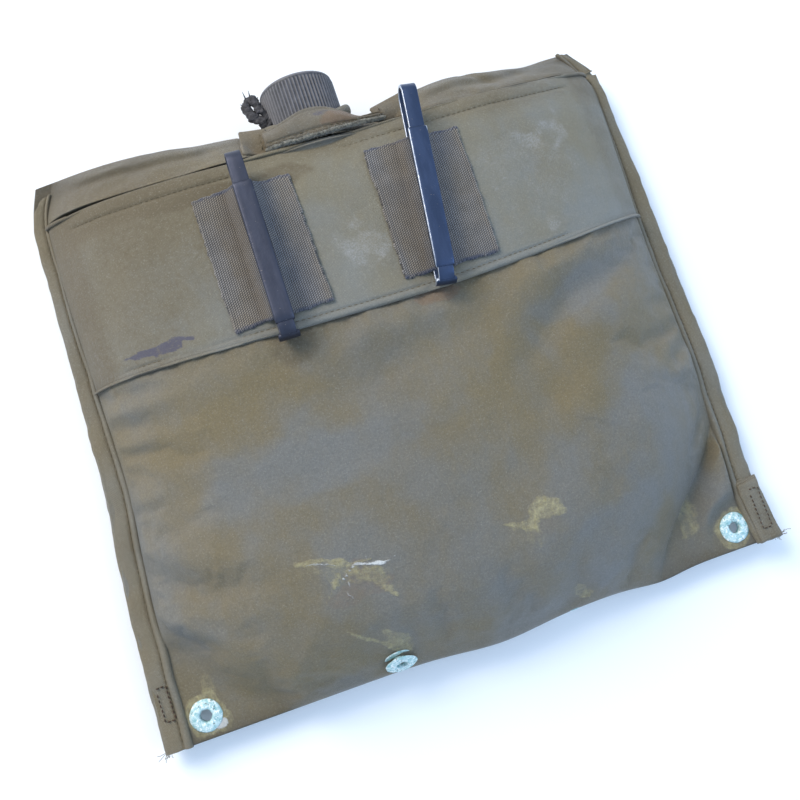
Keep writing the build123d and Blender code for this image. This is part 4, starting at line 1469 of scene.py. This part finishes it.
# ======== webbing keepers ========
def keeper(side, corners, seed):
    """A patch of webbing sewn down round a clip; its corners go round from the top left."""
    f, g = np.meshgrid(np.linspace(0, 1, 150), np.linspace(0, 1, 110), indexing="ij")
    a, b, c, d = (np.array(p, float) for p in corners)
    flat = (a + (b - a) * g[..., None]) * (1 - f[..., None]) + (d + (c - d) * g[..., None]) * f[..., None]
    x, y = flat[..., 0], flat[..., 1]
    edge = np.minimum(g, 1 - g)
    x = (
        x
        + (0.35 * noise(y, 0 * y, 1.4, seed) + 0.3 * noise(y, 0 * y, 6, seed + 1))
        * smooth((0.04 - edge) / 0.04)
    )
    y = (
        y
        + (0.5 * noise(x, 0 * x, 1.8, seed + 2) + 0.5 * noise(x, 0 * x, 8, seed + 3))
        * smooth((0.03 - np.minimum(f, 1 - f)) / 0.03)
    )
    _, across, foot, _ = clip_axes(side)
    off = (x - foot[0]) * across[0] + (y - foot[1]) * across[1]
    base = hanger(x, y) + 1.3
    tunnel = BACK_Z + STRIP / 2 + 0.75
    raised = smooth((8.0 - abs(off)) / 4.6)
    z = base + (np.maximum(tunnel, base + 0.6) - base) * raised
    ends = smooth(np.minimum(f, 1 - f) / 0.06)
    z = z + 0.45 * noise(x, y, 17, seed + 4) + 0.25 * (1 - ends) * noise(x, 0 * x, 7, seed + 5)
    u, v = (g - 0.5) * 40, f * 55
    z = z + 0.3 * smooth((0.045 - edge) / 0.03) + 0.25 * noise(u * 0.35, v, 5, seed + 10)
    kept = {
        # painted shade: bluish on the right of the clip, where its shadow falls, and warmer, as if lit, on
        # its left
        "blue": np.clip(
            0.35 + 0.5 * noise(u * 2, v, 16, seed + 6)
            + 0.6 * smooth((off - 2) / 4) * smooth((15 - off) / 8)
            - 0.5 * smooth((-4 - off) / 3) * smooth((off + 15) / 5),
            0, 1
        ),
        # darker bands beside both sides of the clip; the one on its right is painted shade
        "soil": np.clip(
            0.18 + 0.35 * rough(u * 2, v, 16, seed + 8) + 0.65 * np.exp(-(((off + 6.5) / 4.2) ** 2))
            + 0.35 * np.exp(-(((off - 6) / 3.4) ** 2)),
            0, 1
        ),
        "end": smooth((0.022 - np.minimum(f, 1 - f)) / 0.012) * (0.6 + 0.4 * noise(x, y, 2, seed + 9)),
    }
    grid = np.stack([x, y, z], -1)
    made = cloth(
        f"keeper_{side}", grid, 1.3, webbing, "webbing", kept, stands_for=(f"webbing_keeper_{side}",)
    )


def keeper_corners(side):
    """The patch's corners in the CAD, its top edge a little higher and its sides a little askew."""
    low, high = (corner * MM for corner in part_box(f"webbing_keeper_{side}"))
    bottom, top = low.y - EDGE_Y + 1.5, high.y - EDGE_Y + 2
    skew = 1.0 if side == "right" else -0.5
    return (low.x + skew, top + 1), (high.x + skew, top), (high.x, bottom), (low.x, bottom)


for side, seed in (("left", 301), ("right", 321)):
    keeper(side, keeper_corners(side), seed)


# ======== clips and slides ========
def bent(side, line, widths, thick, name, look, slot, body, stands_for):
    """A strip of steel carried along a line of (distance up the clip, height); its edges are bright with
    wear, and with a painted highlight that is stronger on the strip's lit left side.
    """
    forward, across, foot, _ = clip_axes(side)
    line = np.array(line, float)
    path = np.stack([foot[0] + forward[0] * line[:, 0], foot[1] + forward[1] * line[:, 0], line[:, 1]], 1)
    widths = np.broadcast_to(widths, len(path))
    sections = np.array([rounded(width, thick, thick * 0.30) for width in widths])
    near = np.minimum(abs(abs(sections[..., 0]) - widths[:, None] / 2), 3)
    # painted highlight: the left edges, which face the light, are marked brighter than the right
    lit_side_brightness = 1.0 if side == "right" else 0.35
    edges = np.clip(1.25 - near / 0.42, 0, 1) * np.where(sections[..., 0] < 0, lit_side_brightness, 0.25)
    points, faces = tube(path, sections, side=(across[0], across[1], 0))
    piece(
        name, points, faces, look, slot, body=body, stands_for=stands_for, values={"edge": edges.ravel()},
        crisp=50
    )


def arc(centre, radius, start, end, steps=22):
    """Points on an arc, its ends given in degrees."""
    angles = np.radians(np.linspace(start, end, steps))
    return [(centre[0] + radius * math.cos(a), centre[1] + radius * math.sin(a)) for a in angles]


def clip_line(length):
    """The strip's route: foot tongue, foot bend, back leg, top loop and the short front leg."""
    low, high, middle = LOOP + STRIP / 2, length - LOOP - STRIP / 2, BACK_Z + LOOP
    route = [(10.4, FRONT_Z), (8.0, FRONT_Z)]
    route += arc((low, middle), LOOP, 90, 270)
    route += [(low + (high - low) * k / 14, BACK_Z) for k in range(1, 14)]
    route += arc((high, middle), LOOP, -90, 90)
    route += [(high - 4, FRONT_Z), (length - 16, FRONT_Z), (40, FRONT_Z), (20, FRONT_Z)]
    return route


for side, steel in (("left", steel_left), ("right", steel_right_painted_reflection)):
    *_, clip_long = clip_axes(side)
    body = f"clip_{side}"
    bent(
        side, clip_line(clip_long), STRIP_WIDE, STRIP * 0.92, f"clip_strip_{side}", steel, "clip_steel",
        body, (body,)
    )
    # the wider turned lip at the foot
    lip_line = arc((LOOP + STRIP / 2, BACK_Z + LOOP), LOOP, 142, 190, 12)
    bent(
        side, lip_line, [7.8, 8.5, *[8.7] * 8, 8.5, 7.8], STRIP * 1.04, f"clip_lip_{side}", steel,
        "clip_steel", body, ()
    )


def slide(side, steel):
    """A channel round the front leg: a broad flat bar whose lips turn in under the strip."""
    forward, across, foot, _ = clip_axes(side)
    slide_low, slide_high = (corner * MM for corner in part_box(f"clip_slide_{side}"))
    flat = np.array([(v.co.x * MM, v.co.y * MM - EDGE_Y) for v in nodes[f"clip_slide_{side}"].data.vertices])
    start, end = (flat @ forward).min() - foot @ forward, (flat @ forward).max() - foot @ forward
    half, roof, floor = 3.95, slide_high.z, slide_low.z + 0.7
    inner = STRIP_WIDE / 2 + 0.12
    section = [
        (-half + 0.25, floor), (-half, floor + 0.3), (-half, roof - 0.75), (-half + 0.14, roof - 0.32),
        (-half + 0.42, roof - 0.1), (-half + 0.85, roof),
        (-half * 0.5, roof + 0.02), (0, roof + 0.03), (half * 0.5, roof + 0.02),
        (half - 0.85, roof), (half - 0.42, roof - 0.1), (half - 0.14, roof - 0.32), (half, roof - 0.75),
        (half, floor + 0.3), (half - 0.25, floor),
        (inner - 1.5, floor), (inner - 1.5, floor + 0.72), (inner, floor + 0.78), (inner, roof - 1.05),
        (-inner, roof - 1.05),
        (-inner, floor + 0.78), (-inner + 1.5, floor + 0.72), (-inner + 1.5, floor),
    ]
    section = np.array(section, float)
    v = np.r_[
        start + np.array([0, 0.12, 0.35, 0.7, 1.2, 1.9, 2.8]), np.linspace(start + 4, end - 4, 26),
        end - np.array([2.8, 1.9, 1.2, 0.7, 0.35, 0.12, 0])
    ]
    drop_low = 1.6 * (1 - np.sqrt(1 - np.clip(1 - (v - start) / 3.4, 0, 1) ** 2))
    drop_high = 1.1 * (1 - np.sqrt(1 - np.clip(1 - (end - v) / 2.2, 0, 1) ** 2))
    outside = (section[:, 1] > roof - 0.9).astype(float)
    outside[18:20] = 0
    heights = section[None, :, 1] - (drop_low + drop_high)[:, None] * outside[None] * 0.8
    narrow = (
        1 - 0.06 * np.clip(1 - (v - start) / 1.2, 0, 1) ** 2
        - 0.06 * np.clip(1 - (end - v) / 1.2, 0, 1) ** 2
    )
    widths = section[None, :, 0] * narrow[:, None]
    points = np.stack([
        foot[0] + forward[0] * v[:, None] + across[0] * widths,
        foot[1] + forward[1] * v[:, None] + across[1] * widths,
        heights,
    ], -1)
    n = len(section)
    faces = [list(q) for q in quads(len(v), n, wrap=True)]
    low_cap, high_cap = list(range(n)), [(len(v) - 1) * n + k for k in range(n)]
    faces += [low_cap, high_cap[::-1]]
    # bright edges: wear, plus a painted highlight stronger on the left side, which faces the light; the right
    # slide's right edge brightens towards its high end
    corner = np.clip(1.2 - abs(abs(section[:, 0]) - half + 0.2) / 0.40, 0, 1) * (section[:, 1] > roof - 0.5)
    left_side = section[:, 0] < 0
    high_end = np.clip(1.2 - (end - v) / 3.5, 0, 1)[:, None]
    if side == "right":
        edges = corner[None] * np.where(left_side[None], 0.95, 0.35 + 0.65 * high_end)
    else:
        edges = np.tile(corner * np.where(left_side, 0.45, 0.25), (len(v), 1))
    piece(
        f"slide_{side}", points.reshape(-1, 3), faces, steel, "clip_steel", body=f"slide_{side}",
        stands_for=(f"clip_slide_{side}",), values={"edge": edges.ravel()}, crisp=38
    )


for side, steel in (("left", steel_left), ("right", steel_right_painted_reflection)):
    slide(side, steel)


# ======== eyelets, with their washers behind the cloth ========
def lathe(profile, centre, axis, turns=64, wobble=0.0, seed=1):
    """Points and faces of a closed ring turned about an axis; the profile is (radius, height)."""
    axis = np.array(axis, float) / np.linalg.norm(axis)
    first = np.cross(axis, (0.0, 0.3, 1.0) if abs(axis[1]) > 0.8 else (0.0, 1.0, 0.0))
    first /= np.linalg.norm(first)
    second = np.cross(axis, first)
    angle = np.linspace(0, 2 * math.pi, turns + 1)[:-1]
    profile = np.array(profile, float)
    radius = (
        profile[:, 0][None]
        + wobble * noise(np.cos(angle)[:, None] * 3 + profile[:, 1], np.sin(angle)[:, None] * 3, 0.9, seed)
    )
    height = (
        profile[:, 1][None]
        + wobble * 0.8
        * noise(np.cos(angle)[:, None] * 4, np.sin(angle)[:, None] * 4 + profile[:, 0], 1.1, seed + 1)
    )
    out = np.cos(angle)[:, None] * first + np.sin(angle)[:, None] * second
    points = np.array(centre, float) + out[:, None] * radius[..., None] + axis * height[..., None]
    n = len(profile)
    i, j = np.meshgrid(np.arange(turns), np.arange(n), indexing="ij")
    k, m = (i + 1) % turns, (j + 1) % n
    faces = np.stack([i * n + j, k * n + j, k * n + m, i * n + m], -1).reshape(-1, 4)
    return points.reshape(-1, 3), [list(q) for q in faces]


EYELET = [
    (2.5, 0.45), (2.75, 0.85), (3.3, 1.05), (4.2, 0.98), (5.4, 0.78), (6.3, 0.52), (6.75, 0.22), (6.7, 0.0),
    (4.5, -0.05), (3.2, -0.1), (3.2, -2.6), (3.9, -2.75), (3.9, -3.1), (3.1, -3.25), (2.5, -3.0)
]
WASHER = [(3.4, -2.5), (6.6, -2.5), (6.9, -2.75), (6.6, -3.0), (3.4, -3.0)]


eyelet_rings, washer_rings = [], []
for sign in (-1, 1):
    at = (sign * EYELET_X, EYELET_Y)
    height = bag(np.array([at[0]]), np.array([at[1]]))[0]
    eyelet_rings.append(lathe(EYELET, (*at, height + 0.1), UP, 72, 0.16, 331 + sign))
    washer_rings.append(lathe(WASHER, (*at, height + 0.1), UP, 48, 0.1, 335 + sign))
points, faces = merge(eyelet_rings)
piece("eyelets_corner", points, faces, brass, "eyelet_brass", stands_for=("corner_eyelets",))
points, faces = merge(washer_rings)
piece("eyelet_washers", points, faces, brass, "eyelet_brass", stands_for=("corner_washers",))

drain_rings, drain_backs = [], []
for sign in (-1, 1):
    x = sign * DRAIN_X
    above = sign < 0
    y = float(bottom_edge(x)) + (4.6 if above else 2.4)
    height = bag(np.array([x]), np.array([y]))[0] if above else SEAM - 2.0
    way = np.array([0.0, -0.86, 0.51]) if above else np.array([0.0, -0.98, -0.20])
    drain_rings.append(lathe(EYELET, np.array((x, y, height)) + way * 0.3, way, 72, 0.16, 341 + sign))
    drain_backs.append(lathe(WASHER, np.array((x, y, height)) + way * 0.6, way, 48, 0.1, 345 + sign))
points, faces = merge(drain_rings)
piece("eyelets_drain", points, faces, brass, "eyelet_brass", stands_for=("drain_eyelets",))
points, faces = merge(drain_backs)
piece("eyelet_drain_washers", points, faces, brass, "eyelet_brass", stands_for=("drain_washers",))


# ======== what is inside: pile lining and the soft bottle ========
def lining():
    """A pile layer just inside the cover, front and back in one, stopping short of the flat corners."""
    across = np.sin(np.linspace(-1, 1, 121) * math.radians(80)) / math.sin(math.radians(80))
    sweep = np.linspace(0, 1, 100) ** 0.8
    rows = []
    for back, f in [(True, f) for f in sweep] + [(False, f) for f in sweep[::-1]]:
        y = HEM - 6 + (6 - HEM + 6) * f
        low, high = left_seam(y) + 3.5, right_seam(y) - 3.5
        x = (low + high) / 2 + across * (high - low) / 2
        y = np.maximum(y, bottom_edge(x) + 4)
        z = bag(x, y) - CLOTH - 2.2 if back else pan(x, y) + CLOTH + 0.4
        rows.append(np.stack([x, y, z], 1))
    grid = np.array(rows)
    keep = bag(grid[..., 0], grid[..., 1]) > FLAT + 8
    return cloth(
        "pile_lining", grid, 1.6, pile, "pile", None, keep, stands_for=("front_lining", "back_lining")
    )


pile_lining = lining()


BOTTLE_LOW = 3.2
THREAD_PITCH, THREAD_TURNS = 5.0, 1.5


def inside_top(x, y):
    """How high the bottle may reach under the cloth and the pile."""
    return np.minimum(pouch(x, y) - 7.4, bag(x, y) - 6.0)


def bottle():
    """The flat flask, its shoulder and the threaded neck that the cap screws on."""
    parts = []
    rows, cols = 40, 80
    angle = np.linspace(0, 2 * math.pi, cols + 1)[:-1]
    levels = []
    for t in np.linspace(-1, 1, rows):
        bulge = math.sqrt(max(1 - abs(t) ** 2.2, 0)) ** 0.55
        y_mid, y_half = 112.0, 104.0 * (0.80 + 0.20 * bulge)
        ring_y = y_mid + y_half * np.sign(np.sin(angle)) * abs(np.sin(angle)) ** 0.42
        half = ((right_seam(ring_y) - left_seam(ring_y)) / 2 - 6) * (0.80 + 0.20 * bulge)
        ring_x = half * np.sign(np.cos(angle)) * abs(np.cos(angle)) ** 0.42
        top = np.maximum(inside_top(ring_x, ring_y), SEAM + 0.5)
        z = BOTTLE_LOW + (top - BOTTLE_LOW) * (t + 1) / 2
        levels.append(np.stack([ring_x, ring_y, z], 1))
    grid = np.array(levels)
    points = grid.reshape(-1, 3)
    faces = [list(q[::-1]) for q in quads(rows, cols, wrap=True)]
    for row in (0, rows - 1):
        centre = grid[row].mean(0)
        ring = [row * cols + j for j in range(cols)]
        # close the face with rings that shrink to its middle, following the bag's height
        last = ring
        for shrink in (0.8, 0.6, 0.4, 0.2, 0.05):
            some = centre + (grid[row] - centre) * shrink
            some[:, 2] = BOTTLE_LOW if row == 0 else np.maximum(inside_top(some[:, 0], some[:, 1]), SEAM)
            start = len(points)
            points = np.vstack([points, some])
            new = [start + j for j in range(cols)]
            for j in range(cols):
                q = [last[j], last[(j + 1) % cols], new[(j + 1) % cols], new[j]]
                faces.append(q if row else q[::-1])
            last = new
        faces.append(last if row else last[::-1])
    parts.append((points, faces))
    neck_top = CAP_HIGH - 4.4
    wall = [
        (10.5, 204.0), (10.5, neck_top), (11.0, neck_top + 0.4), (12.6, neck_top + 0.4), (13.0, neck_top),
        (13.0, 214.0), (15.5, 210.0), (18.0, 204.0)
    ]
    parts.append(lathe([(r, y) for r, y in wall], (NECK_X, 0, NECK_Z), (0, 1, 0), 96))
    turn = np.linspace(0, THREAD_TURNS * 2 * math.pi, 150)
    rise = 234 + THREAD_PITCH * turn / (2 * math.pi)
    path = np.stack([NECK_X + 13.2 * np.cos(turn), rise, NECK_Z - 13.2 * np.sin(turn)], 1)
    parts.append(tube(path, [(-0.9, -0.8), (0.7, -0.45), (0.7, 0.45), (-0.9, 0.8)], side=None, up=(0, 1, 0)))
    points, faces = merge(parts)
    piece("bottle", points, faces, bottle_plastic, "bottle_plastic", stands_for=("bottle_body",), crisp=50)


bottle()


# ======== cap, its strap ring and the torn stub ========
RIBS = 64


def ribbed_cap():
    """The screw cap: ribbed sides, a rounded rim and a hollow inside."""
    steps = RIBS * 8
    angle = np.linspace(0, 2 * math.pi, steps + 1)[:-1]
    rib = 0.5 + 0.5 * np.cos(angle * RIBS)
    rib = smooth(rib * 1.25 - 0.1)
    low, high = CAP_LOW, CAP_HIGH
    outer = [  # (distance up the axis, radius without ribs, how deep the ribs are)
        (low + 0.3, CAP_R - 1.1, 0.25), (low, CAP_R - 0.9, 0.35), (low + 0.25, CAP_R - 0.62, 0.5),
        (low + 0.8, CAP_R - 0.55, 0.55),
        *[(low + 0.8 + (high - low - 3.9) * k / 10, CAP_R - 0.55, 0.55) for k in range(1, 11)],
        (high - 2.6, CAP_R - 0.5, 0.42), (high - 2.1, CAP_R - 0.42, 0.18), (high - 1.6, CAP_R - 0.32, 0.0),
        (high - 1.1, CAP_R - 0.42, 0),
        (high - 0.55, CAP_R - 0.75, 0), (high - 0.18, CAP_R - 1.25, 0), (high - 0.03, CAP_R - 1.9, 0),
        (high, CAP_R - 2.8, 0),
        (high - 0.12, CAP_R - 3.3, 0), (high - 0.4, CAP_R - 3.7, 0), (high - 0.5, CAP_R - 4.5, 0),
        (high - 0.5, CAP_R * 0.5, 0),
        (high - 0.45, 1.2, 0), (high - 0.75, 0.9, 0), (high - 0.8, 0.05, 0),
    ]
    inner = [
        (high - 2.4, 0.05, 0), (high - 2.4, 14.3, 0), (high - 2.7, 14.6, 0), (low + 0.6, 14.6, 0),
        (low + 0.2, 14.9, 0)
    ]
    rings, edge = [], []
    for y, radius, depth in outer + inner:
        r = radius + rib * depth
        rings.append(
            np.stack([NECK_X + r * np.cos(angle), np.full(steps, y), NECK_Z + r * np.sin(angle)], 1)
        )
        edge.append(
            rib * (depth > 0.3) * 0.7
            + (0.85 if abs(y - (high - 0.55)) < 0.6 and radius > CAP_R - 1.4 else 0)
        )
    grid = np.array(rings)
    faces = [list(q) for q in quads(len(rings), steps, wrap=True)]
    last = (len(rings) - 1) * steps
    for j in range(steps):
        k = (j + 1) % steps
        faces.append([last + j, j, k, last + k])
    points = grid.reshape(-1, 3)
    piece(
        "ribbed_cap", points, faces, cap_plastic, "cap_plastic", body="cap", stands_for=("cap",),
        values={"edge": np.array(edge).ravel()}, crisp=60
    )


ribbed_cap()
nodes["cap_gasket"].data.materials.clear()
nodes["cap_gasket"].data.materials.append(gasket_look)


def torn_strap():
    """The strap's ring under the cap, and what is left of its arm: a torn, curled lump with spikes."""
    ring = [(13.2, 226.5), (17.3, 226.5), (17.6, 227.0), (17.6, 227.9), (17.3, 228.4), (13.2, 228.4)]
    parts = [lathe(ring, (NECK_X, 0, NECK_Z), (0, 1, 0), 96, 0.1, 351)]
    x, z = NECK_X - CAP_R, NECK_Z + 2
    routes = [  # (points, half width, half depth)
        (
            [(x - 0.6, 227.4, z - 2), (x - 0.4, 232, z), (x + 0.2, 237, z + 1), (x - 1.6, 240, z + 2)], 2.6,
            0.9
        ),
        (
            [
                (x + 1.2, 236.5, z + 2), (x - 1.6, 239.5, z + 2.4), (x - 4.6, 243, z + 2),
                (x - 6.6, 246.6, z + 1), (x - 6.0, 250, z + 1)
            ],
            1.9, 1.5
        ),
        (
            [
                (x - 6.4, 247.5, z + 1), (x - 5.2, 250.4, z + 1.4), (x - 2.8, 250.2, z + 2),
                (x - 1.6, 247, z + 2.6), (x - 1.8, 243.2, z + 3)
            ],
            1.5, 1.3
        ),
        ([(x - 1.8, 246, z + 3), (x + 0.2, 242.6, z + 3.4), (x + 0.6, 239.6, z + 3.4)], 1.1, 1.2),
        ([(x + 0.6, 240.4, z + 3), (x + 1.6, 237.6, z + 4), (x + 0.4, 235.4, z + 4)], 1.0, 1.0),
    ]
    angle = np.linspace(0, 2 * math.pi, 19)[:-1]
    for k, (points, wide, deep) in enumerate(routes):
        line = resample(points, 0.45)
        line = (
            line
            + 0.25
            * np.stack([noise(line[:, 1], 9 * i + 0 * line[:, 1], 2.0, 352 + k) for i in range(3)], 1)
        )
        t = np.linspace(0, 1, len(line))[:, None]
        lumps = (
            (0.75 + 0.5 * t * (1 - t))
            * (
                1 + 0.35 * noise(t * 14, angle[None] * 1.5, 1.6, 353 + k)
                + 0.2 * noise(t * 14, angle[None] * 3, 0.7, 354 + k)
            )
        )
        section = np.stack(
            [np.cos(angle)[None] * 1.35 * wide * lumps, np.sin(angle)[None] * 1.2 * deep * lumps], -1
        )
        parts.append(tube(line, section, up=(0, 0.1, 1)))
    spikes = [
        ((x - 5.6, 249.6, z + 1.2), (-0.3, 5.6, 0.6), 0.75),
        ((x - 3.9, 250.2, z + 1.6), (0.5, 4.6, 0.8), 0.7),
        ((x - 6.6, 248.4, z + 1), (-2.0, 1.6, 0.4), 0.7), ((x - 6.4, 246.4, z + 1), (-1.8, 0.4, 0.6), 0.7),
        ((x - 2.0, 249.0, z + 2), (1.8, 1.8, 0.5), 0.7), ((x + 0.2, 243.0, z + 3), (2.0, 1.2, 0.8), 0.6),
        ((x + 0.8, 238.2, z + 4), (2.0, -0.8, 0.6), 0.7), ((x - 2.6, 243, z + 2.6), (-1.4, -1.6, 1.0), 0.6),
    ]
    for start, way, size in spikes:
        start, way = np.array(start), np.array(way)
        line = resample([start - way * 0.2, start + way * 0.45 + (0.2, 0, 0.1), start + way], 0.3)
        thin = np.linspace(1, 0.10, len(line)) * size
        circle = np.stack([np.cos(angle[::2]), np.sin(angle[::2]) * 0.7], -1)
        parts.append(tube(line, circle[None] * thin[:, None, None], up=(0.4, 0.1, 1)))
    points, faces = merge(parts)
    piece("torn_strap", points, faces, rubber, "strap_rubber", stands_for=("cap_strap",))


torn_strap()


def neck_binding():
    """A tape rolled over the edge of the cloth round the neck's hole."""
    angle = np.linspace(0, 2 * math.pi, 121)
    radius = 19.2 + 0.3 * noise(np.cos(angle) * 4, np.sin(angle) * 4, 3, 361)
    y = (
        232.5 + 3.0 * np.cos(angle * 2) - 2.5 * np.sin(angle)
        + 0.4 * noise(np.cos(angle) * 4, np.sin(angle) * 4, 4, 362)
    )
    turn = np.radians(np.linspace(25, 335, 15))
    reach = radius[:, None] - 1.1 * np.cos(turn)
    grid = np.stack([
        NECK_X + np.cos(angle)[:, None] * reach,
        y[:, None] + 2.1 * np.sin(turn),
        NECK_Z + np.sin(angle)[:, None] * reach,
    ], -1)
    made = cloth(
        "neck_binding", grid, 0.4, tape_look, "binding_tape", marks(grid[..., 0], grid[..., 1], 0.0)
    )


neck_binding()


# ======== loose threads at the cut ends ========
def frays():
    """Loose threads at the cut ends of both tapes."""
    chance = np.random.RandomState(371)
    parts = []
    ends = [
        ((-139, 1, SEAM), (-1, -0.6), 5, 4.5), ((-138, 0.6, SEAM), (-0.4, -1), 4, 3),
        ((138.5, 1.2, SEAM + 3), (1, 0.3), 7, 3.5), ((136, 0.6, SEAM + 3), (0.3, -1), 5, 2.2)
    ]
    for base, way, count, reach in ends:
        for _ in range(count):
            way_ = np.array(
                [
                    way[0] + chance.uniform(-0.6, 0.6), way[1] + chance.uniform(-0.6, 0.6),
                    chance.uniform(-0.5, 0.2)
                ]
            )
            start = np.array(base) + chance.uniform(-1.2, 1.2, 3) * (1, 0.6, 0.5)
            middle = start + way_ * reach * 0.5 + chance.uniform(-0.5, 0.5, 3)
            line = resample(
                np.array(
                    [start - way_ * 0.8, start, middle, start + way_ * reach * chance.uniform(0.4, 0.8)]
                ),
                0.35
            )
            ring = np.array([(math.cos(t), math.sin(t)) for t in (0, 1.57, 3.14, 4.71)]) * 0.11
            parts.append(tube(line, ring, up=(0.1, 0.2, 1)))
    points, faces = merge(parts)
    look = rubber_look("frayed_thread", (0.16, 0.12, 0.07), (0.36, 0.31, 0.24))
    piece("frayed_threads", points, faces, look, "binding_tape")


frays()

# ======== floor, light and camera ========
floor_look = bpy.data.materials.new("pale_floor")
floor_look.use_nodes = True
floor_shader = floor_look.node_tree.nodes["Principled BSDF"]
floor_shader.inputs["Base Color"].default_value = (0.93, 0.94, 0.96, 1)
floor_shader.inputs["Roughness"].default_value = 0.9
floor_mesh = bpy.data.meshes.new("floor")
floor_mesh.from_pydata([(-3, -3, 0), (3, -3, 0), (3, 3, 0), (-3, 3, 0)], [], [(0, 1, 2, 3)])
floor_mesh.materials.append(floor_look)
floor = bpy.data.objects.new("floor", floor_mesh)
floor.location.z = -0.0004
bpy.context.scene.collection.objects.link(floor)

sky = bpy.data.worlds.new("studio")
sky.use_nodes = True
backdrop = sky.node_tree.nodes["Background"]
backdrop.inputs["Color"].default_value = (0.64, 0.80, 1.0, 1)
backdrop.inputs["Strength"].default_value = 0.90
bpy.context.scene.world = sky


def area_light(name, place, target, size, power, colour):
    """A rectangular light aimed at a target."""
    data = bpy.data.lights.new(name, "AREA")
    data.shape = "RECTANGLE"
    data.size, data.size_y = size
    data.energy = power
    data.color = colour
    made = bpy.data.objects.new(name, data)
    made.location = place
    made.rotation_euler = (Vector(target) - Vector(place)).to_track_quat("-Z", "Y").to_euler()
    bpy.context.scene.collection.objects.link(made)


area_light("window", (-0.75, 1.05, 1.10), (0, 0.02, 0.02), (0.9, 0.9), 26.5, (1.0, 0.92, 0.80))
area_light("fill", (1.0, -0.5, 0.9), (0, 0, 0), (1.0, 1.0), 7.0, (0.45, 0.66, 1.0))

camera_data = bpy.data.cameras.new("camera")
camera_data.lens = 45.0
camera_data.sensor_width = 36.0
camera_data.clip_start, camera_data.clip_end = 0.01, 20
camera = bpy.data.objects.new("camera", camera_data)
bpy.context.scene.collection.objects.link(camera)
# nearly straight down on the bag's middle: tipped from upright, towards one side, and turned about its view
TIPPED, TOWARDS, TURNED, AWAY = (math.radians(10.0), math.radians(218.1), math.radians(-17.8), 415.0)
aim = Vector((-5.5, EDGE_Y + COVER / 2 - 12.7, 29.6))
look_back = Vector(
    (math.sin(TIPPED) * math.cos(TOWARDS), math.sin(TIPPED) * math.sin(TOWARDS), math.cos(TIPPED))
)
rightward = Vector((math.cos(TURNED), math.sin(TURNED), 0.0))
rightward = (rightward - look_back * rightward.dot(look_back)).normalized()
upward = look_back.cross(rightward)
stance = Matrix((rightward, upward, look_back)).transposed().to_4x4()
stance.translation = (aim + look_back * AWAY) / MM
camera.matrix_world = stance
scene = bpy.context.scene
scene.camera = camera
scene.view_settings.view_transform = "Standard"
scene.view_settings.look = "None"
